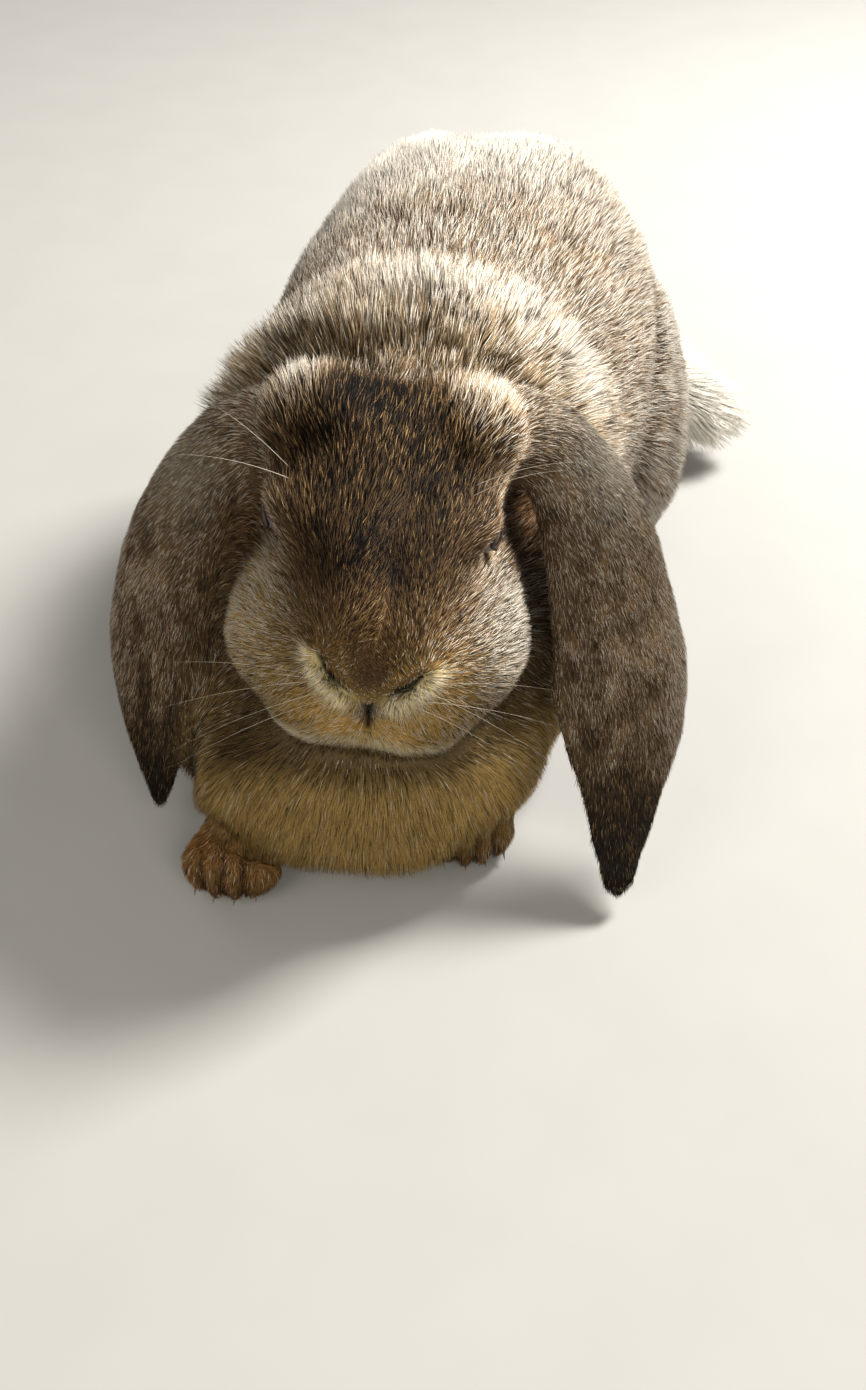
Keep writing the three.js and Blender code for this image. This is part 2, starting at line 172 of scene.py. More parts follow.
def smooth_line(points, count=24):
    """A smooth curve through the given points (Catmull-Rom), as an array of places."""
    points = np.asarray(points, float)
    padded = np.vstack([2 * points[0] - points[1], points, 2 * points[-1] - points[-2]])
    curve = []
    for share in np.linspace(0, len(points) - 1, count):
        n = min(int(share), len(points) - 2)
        t = share - n
        a, b, c, d = padded[n:n + 4]
        curve.append(b + 0.5 * t * (c - a + t * (2 * a - 5 * b + 4 * c - d + t * (3 * (b - c) + d - a))))
    return np.array(curve)


# ---------------------------------------------------------------- landmarks

# The working datum, on the floor under the nose, and the head frame's origin seen from it.
HEAD_FROM_DATUM = np.array([-9.0, 1.0, 0.2]) * MM
DATUM = HEAD_ORIGIN - HEAD_FROM_DATUM


def set_out(places):
    """Places in millimetres from the working datum, in the part's frame."""
    return DATUM + np.asarray(places, float) * MM


EAR_LINES = {
    "ear_right": smooth_line(set_out([
        (-24, 104, 182), (-54, 106, 170), (-82, 92, 132), (-94, 74, 92), (-97, 58, 56), (-98, 43, 12),
    ])),
    "ear_left": smooth_line(set_out([
        (36, 100, 182), (68, 104, 172), (95, 84, 137), (102, 60, 101), (105, 34, 62), (103, -6, 8),
    ])),
}
# Each foot: where its toes start on the floor, and how many degrees it is turned outwards.
FEET = {
    "foreleg_right": ((-65, -3), -8),
    "foreleg_left": ((44, 17), 10),
    "hind_leg_right": ((-40, 188), -5),
    "hind_leg_left": ((122, 204), 12),
}
TOE_STEPS = (-1.5, -0.5, 0.5, 1.5)
TOE_SPREAD = 9 * MM
TOE_GROOVES = (-1, 0, 1)
TAIL_LINE = set_out([(112, 352, 66), (152, 362, 44), (186, 352, 32)])
# Lines of the nose in the head's frame, in millimetres: the nostril slits run outwards and up from the
# nose's tip and the cleft runs down to the lip.
NOSE_SPOT = (3.6, 0.4, 115.5)
NOSTRILS = [
    smooth_line([NOSE_SPOT, (-4.5, 1.8, 120.8), (-10.5, 4.0, 125), (-16.5, 7.6, 131)]),
    smooth_line([NOSE_SPOT, (8.5, 2.0, 118.6), (15.5, 4.8, 121.5), (22.5, 9.9, 124.5)]),
]
CLEFT = smooth_line([NOSE_SPOT, (3.5, 0.6, 110), (3.2, 2.0, 103)])
MOUTH = smooth_line([(-24, 18, 92), (-12, 8, 95), (3.2, 4, 99), (18, 9, 93), (31, 20, 88)])
FACE_DEPTH = 0.2          # depth counts this much in a distance over the muzzle's front
FACE_BACK = (24, 32)      # and the muzzle ends here, behind the nose's tip
FACE_FADE = 50            # millimetres added to the distance behind there


def face_distance(points, line):
    """Distance in millimetres over the muzzle's front to one of its lines, and the share along it."""
    flat = np.array([1, FACE_DEPTH, 1])
    places = to_head(points)
    distance, along = line_distance(places * flat, line * flat)[:2]
    return distance + FACE_FADE * ramp(places[:, 1], *FACE_BACK), along


SLIT_OPENS = (0.35, 0.7)   # shares of the way out along a nostril
SLIT_ENDS = (0.85, 1.0)
SLIT_END_SHUT = 0.7


def slit_width(along):
    """How open a nostril is at a share of the way along it: shut at its inner part and its end."""
    return ramp(along, *SLIT_OPENS) * (1 - SLIT_END_SHUT * ramp(along, *SLIT_ENDS))


RING_WIDTH = 4             # millimetres from the slit to the ring's edge, and how softly it ends
RING_FADE = 3.2
RING_STARTS = (0.15, 0.5)
RING_TOP = (-0.5, 2.5)


def nostril_ring(points, slit):
    """One on the lid under a nostril slit, where the hair is longer and pale."""
    distance, along = face_distance(points, slit)
    places = to_head(points)
    line = slit[np.abs(slit[None, :, 0] - places[:, :1]).argmin(axis=1)]
    below = fall(places[:, 2] - line[:, 2], *RING_TOP)
    edge = bell(np.maximum(distance - RING_WIDTH, 0) / RING_FADE)
    return edge * ramp(along, *RING_STARTS) * below


# ---------------------------------------------------------------- skin

SKIN_GRAIN = 2.7 * MM
# Middle in the head's frame and reach, for the face's finer skin and its finest.
FINE_ZONES = [((4, 6, 118), 32), *mirrored((40, 62, 156), 19)]
FINEST_ZONES = [((4, 4, 120), 23), *mirrored((40, 62, 156), 15)]


def joined_flesh():
    """The flesh nodes' solids, copied into one mesh."""
    shell = bmesh.new()
    for name in FLESH:
        shell.from_mesh(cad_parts[name].data)
    bmesh.ops.remove_doubles(shell, verts=shell.verts, dist=1e-6)
    mesh = bpy.data.meshes.new("skin")
    shell.to_mesh(mesh)
    shell.free()
    return mesh


def add_object(name, data):
    """A new object at the origin for a mesh, curve, light or camera."""
    piece = bpy.data.objects.new(name, data)
    bpy.context.scene.collection.objects.link(piece)
    return piece


def applied(piece):
    """The object's mesh with its modifiers worked in."""
    graph = bpy.context.evaluated_depsgraph_get()
    mesh = bpy.data.meshes.new_from_object(piece.evaluated_get(graph))
    piece.modifiers.clear()
    piece.data = mesh
    return mesh


def field_rows(items, field, width, kind=float):
    """A field of a mesh's items, one row for each."""
    flat = np.empty(len(items) * width, kind)
    items.foreach_get(field, flat)
    return flat.reshape(-1, width)


def coordinates(mesh):
    """The mesh's vertices, as places."""
    return field_rows(mesh.vertices, "co", 3)


def normals(mesh):
    """The way out of the surface at each vertex."""
    return field_rows(mesh.vertex_normals, "vector", 3)


def edges(mesh):
    """The two vertices of each edge."""
    return field_rows(mesh.edges, "vertices", 2, np.int32)


def move_to(mesh, points):
    """Puts the mesh's vertices at the points."""
    mesh.vertices.foreach_set("co", np.ascontiguousarray(points).ravel())
    mesh.update()


def paint(mesh, colours):
    """Colours at the vertices, in the attribute that the materials read."""
    layer = mesh.color_attributes.new("coat", "FLOAT_COLOR", "POINT")
    layer.data.foreach_set("color", np.hstack([colours, np.ones((len(colours), 1))]).ravel())


def spread(values, pairs, rounds, share=0.5):
    """Values at vertices, evened out along the mesh's edges."""
    count = len(values)
    links = np.bincount(pairs.ravel(), minlength=count)
    links = np.maximum(links, 1)
    flat = values.reshape(count, -1).copy()
    for _ in range(rounds):
        total = np.empty_like(flat)
        for n in range(flat.shape[1]):
            total[:, n] = np.bincount(pairs[:, 0], flat[pairs[:, 1], n], count)
            total[:, n] += np.bincount(pairs[:, 1], flat[pairs[:, 0], n], count)
        flat += share * (total / links[:, None] - flat)
    return flat.reshape(values.shape)


def largest_island(mesh):
    """Keeps only the mesh's largest connected shell."""
    shell = bmesh.new()
    shell.from_mesh(mesh)
    left = set(shell.verts)
    islands = []
    while left:
        island = [left.pop()]
        for vert in island:
            for edge in vert.link_edges:
                other = edge.other_vert(vert)
                if other in left:
                    left.discard(other)
                    island.append(other)
        islands.append(island)
    islands.sort(key=len)
    for island in islands[:-1]:
        bmesh.ops.delete(shell, geom=island, context="VERTS")
    shell.to_mesh(mesh)
    shell.free()


def refine(mesh, zones):
    """Divides the faces near the given places of the head once more."""
    shell = bmesh.new()
    shell.from_mesh(mesh)
    points = np.array([v.co for v in shell.verts])
    inside = np.zeros(len(points), bool)
    for centre, reach in zones:
        inside |= np.linalg.norm(points - from_head([centre])[0], axis=1) < reach * MM
    chosen = [e for e in shell.edges if inside[e.verts[0].index] and inside[e.verts[1].index]]
    bmesh.ops.subdivide_edges(shell, edges=chosen, cuts=1, use_grid_fill=True, smooth=0.0)
    bmesh.ops.triangulate(shell, faces=[f for f in shell.faces if len(f.verts) > 4])
    shell.to_mesh(mesh)
    shell.free()


def node_trees():
    """A nearest-surface tree for each flesh node's solid."""
    trees = {}
    for name in FLESH:
        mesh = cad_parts[name].data
        corners = [v.co.copy() for v in mesh.vertices]
        trees[name] = BVHTree.FromPolygons(corners, [tuple(p.vertices) for p in mesh.polygons])
    return trees


BLEND_WIDTH = 5 * MM


def node_shares(points):
    """How much each point belongs to each flesh node: shares that add to one."""
    trees = node_trees()
    far = np.empty((len(points), len(FLESH)))
    for column, name in enumerate(FLESH):
        tree = trees[name]
        far[:, column] = [tree.find_nearest(p)[3] for p in map(Vector, points)]
    near = np.exp(-(far - far.min(axis=1, keepdims=True)) / BLEND_WIDTH)
    return near / near.sum(axis=1, keepdims=True)


def share_of(node, shares):
    """How much each point belongs to one flesh node."""
    return shares[:, FLESH.index(node)]


# Coat of each node: hair length, depth over the skin, tuft width and the spacing of tufts, all in
# millimetres, then the tuft's rise from the skin at its root and at its tip, in degrees.
COAT = {
    "head": (6.0, 3.4, 0.42, 0.66, 30, 13),
    "neck": (22, 12, 0.50, 0.82, 52, 40),
    "chest": (8.5, 5.0, 0.46, 1.02, 15, 11),
    "trunk": (9.5, 4.5, 0.52, 1.05, 20, 16),
    **both("hind_leg", (9.5, 4.5, 0.52, 1.08, 20, 16)),
    **both("foreleg", (6.0, 2.6, 0.46, 0.72, 28, 12)),
    **both("ear", (4.3, 2.2, 0.36, 0.74, 20, 9)),
    "tail": (23, 8, 0.66, 0.95, 50, 38),
}
LENGTH, DEPTH, WIDTH, SPACING, ROOT_RISE, TIP_RISE = range(6)
# Places of the head, in its frame in millimetres, where the coat is shorter, fluffier or denser:
# middle, reach, and the same six values.
HEAD_COAT = [
    ((4, 6, 112), (34, 26, 26), (4.0, 1.6, 0.34, 0.52, 26, 10)),
    ((3, 2, 128), (9, 12, 10), (2.0, 1.2, 0.28, 0.42, 24, 9)),
    ((1, 28, 154), (28, 26, 30), (4.8, 2.4, 0.38, 0.56, 28, 10)),
    ((0, 55, 188), (30, 26, 18), (7.5, 3.4, 0.48, 0.66, 36, 18)),
    *mirrored((34, 90, 200), (22, 26, 20), (11, 6.5, 0.46, 0.72, 58, 46)),
    *mirrored((46, 84, 118), (16, 26, 28), (10, 5.0, 0.55, 0.85, 38, 22)),
    *mirrored((38, 62, 156), (13, 13, 12), (4.0, 2.0, 0.36, 0.55, 26, 10)),
    ((8, 20, 86), (36, 20, 8), (7.0, 2.4, 0.40, 0.60, 26, 14)),
]
PAW_COAT = (4.2, 1.7, 0.5, 0.75, 28, 10)
RING_COAT = (6.0, 1.6, 0.36, 0.56, 30, 16)


CREASE_DEPTH = 8 * MM
JAW_FOLD = 5.0
EAR_FOLD = 3.2
EAR_FOLD_STARTS = (0.12, 0.3)
THIGH_FOLD = 1.7


def crease(shares, points):
    """One along the folds under the jaw and behind the ears, less along the thighs' outline."""
    head = share_of("head", shares)
    chest = share_of("chest", shares)
    fold = JAW_FOLD * head * chest ** 2
    for name, line in EAR_LINES.items():
        ear = share_of(name, shares)
        past_root = ramp(line_distance(points, line)[1], *EAR_FOLD_STARTS)
        fold += EAR_FOLD * ear * (1 - ear) * (1 - chest) * past_root
    for name in ("hind_leg_right", "hind_leg_left"):
        fold += THIGH_FOLD * share_of(name, shares) * share_of("trunk", shares)
    return np.clip(fold, 0, 1)


def foot_frame(foot):
    """Where a foot's toes start on the floor, and the directions across it and back from the toes."""
    (x, y), degrees = FEET[foot]
    turn = math.radians(degrees)
    across = np.array([math.cos(turn), math.sin(turn), 0])
    back = np.array([-math.sin(turn), math.cos(turn), 0])
    return set_out((x, y, 0)), across, back


def foot_places(points, foot):
    """Points in a foot's own frame: x across, y back from the toes, z up."""
    front, across, back = foot_frame(foot)
    local = points - front
    return np.stack([local @ across, local @ back, local[:, 2]], axis=1)


ZONE_STRENGTH = 1.3
RING_DEPTH = 6           # the nostrils' ring stays where the coat is less deep, in millimetres
PAW_TOP = (22 * MM, 36 * MM)
PAW_BACK = (30 * MM, 60 * MM)


def coat_values(points, shares):
    """The six coat values at each point, in metres and degrees."""
    values = shares @ np.array([COAT[name] for name in FLESH], float)
    head = share_of("head", shares)
    places = to_head(points)
    for centre, reach, zone in HEAD_COAT:
        part = (bump(places, centre, reach) * head)[:, None]
        values += np.clip(part * ZONE_STRENGTH, 0, 1) * (np.array(zone) - values)
    for slit in NOSTRILS:
        part = nostril_ring(points, slit)[:, None] * (values[:, DEPTH:DEPTH + 1] < RING_DEPTH)
        values += part * (np.array(RING_COAT) - values)
    for foot in FEET:
        place = foot_places(points, foot)
        part = fall(place[:, 2], *PAW_TOP) * share_of(foot, shares)
        part *= fall(place[:, 1], *PAW_BACK)
        values += part[:, None] * (np.array(PAW_COAT) - values)
    values[:, :ROOT_RISE] *= MM
    return values


RUFF_MIDDLE = (0, 95, 140)      # the ruff fans out from here, in the head's frame in millimetres
REARWARDS = (60 * MM, 120 * MM)
FOOT_TOP = (24 * MM, 44 * MM)


def lie_of_coat(points, outward, shares):
    """Which way the hair points at each place, lying in the skin."""
    places = to_head(points)
    source = [line_distance(places, line) for line in (*NOSTRILS, CLEFT)]
    away = np.array([near[0] for near in source])
    nearest = np.array([near[3] for near in source])[away.argmin(axis=0), np.arange(len(points))]
    from_nose = unit(places - nearest - (0, 0.8, 0)) @ HEAD_AXES
    ruff = unit(points - from_head([RUFF_MIDDLE])[0]) + np.array([0, 0.55, 0])
    side = np.clip(1 - outward[:, 2], 0, 1)[:, None]
    back = np.array([0.12, 1, 0]) + side * np.array([0, 0, -0.55])
    dewlap = np.array([0, 0.0, -1]) + (points[:, :1] - DATUM[0]) * np.array([6, 0, 0])
    breast = np.array([0, 0.7, -0.8])
    rearwards = ramp(points[:, 1] - DATUM[1], *REARWARDS)[:, None]
    foreleg = np.broadcast_to(unit(np.array([0, -0.75, -0.65])), points.shape)
    haunch = np.array([0, 0.75, -0.6])
    low = fall(points[:, 2], *FOOT_TOP)[:, None]
    hind_leg = unit(haunch * (1 - low) + np.array([0, -1, -0.1]) * low)
    field = {
        "head": from_nose,
        "neck": unit(ruff),
        "chest": unit(dewlap * (1 - rearwards) + breast * rearwards),
        "trunk": unit(back),
        **both("foreleg", foreleg),
        **both("hind_leg", hind_leg),
        "tail": line_distance(points, TAIL_LINE)[2],
    }
    for name, line in EAR_LINES.items():
        field[name] = line_distance(points, line)[2]
    return sum(shares[:, n:n + 1] * field[name] for n, name in enumerate(FLESH))


def flatten(vectors, outward):
    """Vectors laid into the surface, at length one."""
    return unit(vectors - np.sum(vectors * outward, axis=1, keepdims=True) * outward)


# ---------------------------------------------------------------- eyes

EYE_RADIUS = 9.5 * MM
LID_RADIUS = 10.3 * MM
LID_LONG = 0.72   # half length of the opening between the lids, in eye radii
LID_HIGH = 0.56   # half height
LID_CURVE = 0.72
EYE_REACH = 19 * MM
EYE_AIM = (0.985, -0.10, -0.02)   # outwards, back and up, in the head's frame
EYE_DIP = 0.10


def eye_axes(side):
    """Outward, along and up directions of an eye, the long axis dipping a little to the nose."""
    sign = -1 if side == "right" else 1
    outward = unit(sign * EYE_AIM[0] * HEAD_X + EYE_AIM[1] * HEAD_Y + EYE_AIM[2] * HEAD_Z)
    along = unit(np.cross((0, 0, 1), outward) * sign + EYE_DIP * HEAD_Z)
    along = unit(along - (along @ outward) * outward)
    up = unit(np.cross(outward, along) * sign)
    if up[2] < 0:
        up = -up
    return outward, along, up


def lid_edge(across):
    """Half height of the opening at a place along it, both in eye radii."""
    return LID_HIGH * np.clip(1 - (across / LID_LONG) ** 2, 0, 1) ** LID_CURVE


EYE_FRONT = (-0.1, 0.35)        # where the skin starts to follow the ball: cosines of the angle outwards
LID_SPREAD = (-0.75, -0.05)     # where outside the opening the lids lie on the ball, in eye radii
BEHIND_BALL = 2.2 * MM
REACH_FADES = 0.75              # share of the reach where it starts to fade


def sculpt_eye(points, side):
    """Draws the skin over the eyeball as lids and sinks it behind the ball inside the opening."""
    outward, along, up = eye_axes(side)
    centre = EYES[side]
    offset = points - centre
    reach = np.linalg.norm(offset, axis=1)
    spot = offset / np.maximum(reach, 1e-9)[:, None]
    front = spot @ outward
    across = spot @ along
    height = spot @ up
    facing = ramp(front, *EYE_FRONT)
    opening = lid_edge(across) - np.abs(height)
    inside = (opening > 0) & (front > 0)
    near_opening = ramp(opening, *LID_SPREAD)
    lid = reach + (LID_RADIUS - reach) * np.maximum(near_opening, (reach < LID_RADIUS) * 1.0)
    wanted = np.where(inside, EYE_RADIUS - BEHIND_BALL, lid)
    blend = facing * fall(reach, REACH_FADES * EYE_REACH, EYE_REACH)
    blend = np.where(inside, 1.0 * (reach < EYE_REACH), blend)
    return centre + spot * (reach + (wanted - reach) * blend)[:, None]


# ---------------------------------------------------------------- soft moves of the skin

# Soft moves of the head's skin, in its frame in millimetres: middle, reach and the move.
HEAD_MOVES = [
    ((30, 16, 92), (22, 20, 14), (1, -3, -7)),      # the jaw bulges over the dewlap, lower on the left
    ((-20, 14, 92), (22, 18, 12), (-1, -2, -3)),
    ((50, 50, 122), (18, 28, 26), (7, -2, -1)),     # the cheeks
    ((-52, 48, 118), (16, 28, 26), (-3, -1, 0)),
    ((-38, 56, 171), (11, 18, 11), (-3.0, -1, 0)),  # brow ridges over the eyes
    ((37, 58, 170), (10, 18, 7), (3.0, -1, 0)),
    ((40, 50, 166), (10, 14, 10), (3.0, -1.5, 0)),
    ((-43, 74, 187), (12, 15, 11), (-4, -1, 0)),    # temples, running into the swellings above
    ((44, 80, 194), (14, 16, 13), (6, -1, 0)),
    ((36, 38, 148), (12, 13, 12), (3.5, -2, 0)),
    ((-6, 90, 205), (10, 13, 14), (0, 4, -5)),      # the dimple between the ears
    ((-32, 84, 203), (15, 14, 12), (-1, -2, 3)),    # and the swellings beside it
    ((34, 84, 203), (16, 15, 12), (2, -2, 3)),
    ((4, 8, 134), (7, 10, 8), (0, -1.4, 1.0)),      # the nose's soft top, over the slits
    ((-9, 5, 108), (10, 12, 8), (0, -2.4, 0)),      # pads either side of the cleft
    ((17, 6, 107), (11, 12, 8), (0, -2.4, 0)),
]

# The same for other nodes, from the working datum: node, middle, reach and the move.
BODY_MOVES = [
    ("chest", (-64, 18, 58), (22, 24, 24), (-8, -3, -3)),        # the dewlap hangs full over the paws
    ("chest", (-38, 6, 30), (28, 24, 16), (-4, -5, -9)),
    ("chest", (12, 4, 30), (32, 24, 16), (0, -5, -9)),
    ("ear_left", (70, 68, 138), (18, 28, 32), (-9, -3, 0)),      # the ears lie close to the cheeks
    ("ear_right", (-88, 40, 40), (12, 20, 24), (4, -1, 0)),
    ("chest", (-77, 40, 46), (14, 22, 14), (-2, -4, -14)),
    ("foreleg_right", (-70, 4, 14), (26, 30, 26), (-4, -1, 0)),
    ("foreleg_right", (-80, 6, 26), (14, 18, 14), (-3, -2, 3)),
]

# How much wider than their solids the ears are, low down and at the tip, and where along them that starts
# and ends.
EAR_WIDER = {"ear_right": (0.0, 1.4), "ear_left": (0.22, 3.2)}
EAR_LOWER = (0.38, 0.62)
EAR_NARROWS = (0.70, 0.80)
EAR_NARROWED = 0.7       # share of the width lost again below
TIP_STARTS = (0.84, 0.92)
TIP_STARTS_BY = 0.08
TIP_ROUNDS = (0.91, 1.03)
ACROSS_EAR = np.array([1, 1, 0.3])
WITHIN_NODE = (0.1, 0.5)
WITHIN_EAR = (0.2, 0.7)


def sculpt_body(points, shares):
    """A fuller dewlap and paw, ears that lie close to the cheeks, and wider ears with round tips."""
    for node, centre, reach, move in BODY_MOVES:
        part = bump(points, set_out(centre), np.array(reach) * MM)
        part *= ramp(share_of(node, shares), *WITHIN_NODE)
        points = points + part[:, None] * np.array(move) * MM
    for name, line in EAR_LINES.items():
        along, _, nearest = line_distance(points, line)[1:]
        lower, tip = EAR_WIDER[name]
        part = lower * ramp(along, *EAR_LOWER) * (1 - EAR_NARROWED * ramp(along, *EAR_NARROWS))
        part += tip * (TIP_STARTS_BY * ramp(along, *TIP_STARTS) + ramp(along, *TIP_ROUNDS))
        part *= ramp(share_of(name, shares), *WITHIN_EAR)
        points = points + part[:, None] * (points - nearest) * ACROSS_EAR
    return points


def sculpt_head(points):
    """Jaw, cheeks, brows, temples, dimple and nose."""
    places = to_head(points)
    for centre, reach, move in HEAD_MOVES:
        points = points + bump(places, centre, reach)[:, None] * (np.array(move) * MM @ HEAD_AXES)
    return points


# Folds of the muzzle in millimetres: how deep or high they are and how far they reach to each side.
SLIT_SHUT_DEPTH = 0.8
SLIT_OPEN_DEPTH = 3.2     # added where it is open
SLIT_REACH = 0.95
RIM_HEIGHT = 1.3
RIM_AWAY = 3.8
RIM_REACH = 1.9
CLEFT_DEPTH = 3.2
CLEFT_REACH = 1.1
MOUTH_DEPTH = 2.0
MOUTH_REACH = 1.6


def sculpt_face(points, outward):
    """Nostril slits with raised rims, the cleft of the lip and the mouth."""
    push = np.zeros(len(points))
    for slit in NOSTRILS:
        distance, along = face_distance(points, slit)
        depth = SLIT_SHUT_DEPTH + SLIT_OPEN_DEPTH * slit_width(along)
        push -= depth * bell(distance / SLIT_REACH)
        push += RIM_HEIGHT * bell((distance - RIM_AWAY) / RIM_REACH)
    push -= CLEFT_DEPTH * bell(face_distance(points, CLEFT)[0] / CLEFT_REACH)
    push -= MOUTH_DEPTH * bell(face_distance(points, MOUTH)[0] / MOUTH_REACH)
    return points + push[:, None] * MM * outward


TOE_FRONT = -16 * MM
TOE_BACK = 26 * MM
TOE_TOP = 40 * MM
GROOVE_FADES = (10 * MM, 24 * MM)
GROOVE_DEPTH = 2.6       # in millimetres
GROOVE_REACH = 1.7 * MM


def sculpt_toes(points, outward):
    """Grooves between the toes."""
    for foot in FEET:
        place = foot_places(points, foot)
        near = (place[:, 1] < TOE_BACK) & (place[:, 1] > TOE_FRONT) & (place[:, 2] < TOE_TOP)
        fade = fall(place[:, 1], *GROOVE_FADES)
        for groove in TOE_GROOVES:
            dip = bell((place[:, 0] - groove * TOE_SPREAD) / GROOVE_REACH)
            points = points - (near * fade * dip * GROOVE_DEPTH * MM)[:, None] * outward
    return points


BODY_ROUNDS = 14      # rounds of evening out: the joined solids, the coat's depth, and the rest
DEPTH_ROUNDS = 6
SOFT_ROUNDS = 4
SKIN_FLOOR = 1.0 * MM
FACE_ZONE = ((0, 10, 120), (40, 34, 34))    # middle and reach in the head's frame
EYE_ZONE = ((40, 62, 156), (20, 20, 20))    # the same for the left eye, and mirrored
IN_ZONE = 0.02


def even_flesh():
    """The flesh as one closed mesh of even grain, and its object."""
    piece = add_object("skin", joined_flesh())
    remesh = piece.modifiers.new("even", "REMESH")
    remesh.mode = "VOXEL"
    remesh.voxel_size = SKIN_GRAIN
    mesh = applied(piece)
    largest_island(mesh)
    return piece, mesh


def under_coat(mesh, points):
    """The flesh moved in by the coat's depth, with the body's soft moves."""
    shares = node_shares(points)
    depth = spread(coat_values(points, shares)[:, DEPTH], edges(mesh), DEPTH_ROUNDS)
    outward = spread(normals(mesh), edges(mesh), SOFT_ROUNDS)
    depth = depth + crease(shares, points) * CREASE_DEPTH
    points = points - depth[:, None] * unit(outward)
    return spread(sculpt_body(points, shares), edges(mesh), SOFT_ROUNDS)


def build_skin():
    """One closed skin under the coat, with the face's folds, lids and toes."""
    piece, mesh = even_flesh()
    points = spread(coordinates(mesh), edges(mesh), BODY_ROUNDS)
    move_to(mesh, points)
    move_to(mesh, under_coat(mesh, points))
    refine(mesh, FINE_ZONES)
    refine(mesh, FINEST_ZONES)
    points = coordinates(mesh)
    near_face = bump(to_head(points), *FACE_ZONE) > IN_ZONE
    near_eye = bump(np.abs(to_head(points)), *EYE_ZONE) > IN_ZONE
    fine = (near_face | near_eye)[:, None]
    points = np.where(fine, spread(points, edges(mesh), SOFT_ROUNDS), points)
    move_to(mesh, points)
    points = sculpt_head(points)
    move_to(mesh, points)
    points = sculpt_face(points, normals(mesh))
    for side in EYES:
        points = sculpt_eye(points, side)
    points = sculpt_toes(points, normals(mesh))
    points[:, 2] = np.maximum(points[:, 2], SKIN_FLOOR)
    move_to(mesh, points)
    mesh.shade_smooth()
    return piece


# ---------------------------------------------------------------- markings

# The muzzle's and the cheek's colours are yellowed a little as painted bounce light.
COLOURS = {name: srgb(code) for name, code in {
    "dark": "261a0f", "black": "0d0a08", "brown": "806d59", "tan": "b08a58", "cream": "ede4d3",
    "silver": "f1ede6", "white": "fbf7ee", "orange": "744a1c", "rust": "7c4c2a", "grey": "7b6146",
    "ear": "6e563b", "dewlap": "cba966", "ring": "f2dc9c", "bare": "100b08", "muzzle": "c9a253",
    "bridge": "644a2c", "ruff": "9b8767", "ash": "8c826e", "cheek": "c3a362", "gold": "bd9763",
}.items()}
# Coat of each node: ground colour, then the shares of cream, black and tan tips.
MARKS = {
    "head": ("grey", 0.12, 0.38, 0.50),
    "neck": ("ruff", 0.36, 0.24, 0.40),
    "chest": ("dewlap", 0.05, 0.20, 0.75),
    "trunk": ("brown", 0.46, 0.12, 0.42),
    "hind_leg_right": ("brown", 0.46, 0.14, 0.40),
    "hind_leg_left": ("brown", 0.78, 0.05, 0.17),
    "foreleg_right": ("orange", 0.03, 0.22, 0.75),
    "foreleg_left": ("orange", 0.06, 0.16, 0.78),
    "ear_right": ("ear", 0.30, 0.42, 0.28),
    "ear_left": ("ear", 0.33, 0.37, 0.30),
    "tail": ("white", 1.0, 0.0, 0.0),
}
# Marks of the face, in the head's frame in millimetres: middle, reach, strength, ground and tips.
FACE_MARKS = [
    ((-48, 44, 122), (20, 34, 30), 1.2, ("cheek", 0.48, 0.20, 0.32)),
    ((54, 46, 122), (15, 34, 30), 1.0, ("ash", 0.52, 0.22, 0.26)),
    ((0, 60, 190), (38, 34, 26), 2.0, ("dark", 0.05, 0.68, 0.27)),
    ((0, 34, 160), (28, 24, 26), 1.8, ("dark", 0.01, 0.57, 0.42)),
    ((3, 12, 140), (24, 18, 15), 1.2, ("bridge", 0.01, 0.42, 0.57)),
    ((-37, 95, 205), (14, 17, 15), 1.3, ("brown", 0.62, 0.18, 0.20)),
    ((40, 93, 203), (15, 20, 16), 1.3, ("tan", 0.58, 0.16, 0.26)),
    ((-6, 88, 205), (15, 19, 15), 2.2, ("black", 0.03, 0.88, 0.09)),
    ((4, 6, 108), (38, 22, 20), 1.3, ("muzzle", 0.20, 0.16, 0.64)),
    ((4, 3, 130), (9, 14, 9), 1.4, ("bridge", 0.0, 0.50, 0.50)),
    ((-24, 14, 93), (20, 16, 5), 1.6, ("ring", 0.80, 0.0, 0.20)),
    ((6, 8, 92), (22, 14, 4.5), 1.4, ("ring", 0.60, 0.0, 0.40)),
    ((36, 16, 88), (20, 16, 6), 1.6, ("ring", 0.85, 0.0, 0.15)),
    ((-57, 72, 140), (9, 16, 14), 1.3, ("rust", 0.04, 0.24, 0.72)),
    ((56, 76, 144), (8, 14, 14), 1.1, ("rust", 0.06, 0.24, 0.70)),
    # rust-brown with painted shade in the gap between the left ear and the head
    ((58, 100, 140), (11, 16, 16), 1.3, ("rust", 0.02, 0.38, 0.60)),
    ((-46, 54, 173), (3, 8, 7), 0.6, ("tan", 0.50, 0.15, 0.35)),
    ((50, 56, 170), (3, 8, 6), 0.6, ("tan", 0.50, 0.15, 0.35)),
    ((3.6, 0, 115), (7, 10, 4), 1.0, ("ash", 0.15, 0.25, 0.60)),
]
CHEVRON = smooth_line(from_head([
    (-12, 20, 162), (-8.5, 21.2, 166), (-2, 27, 173), (7, 22, 167), (10, 20, 161),
]))
CHEVRON_REACH = 3.4 * MM
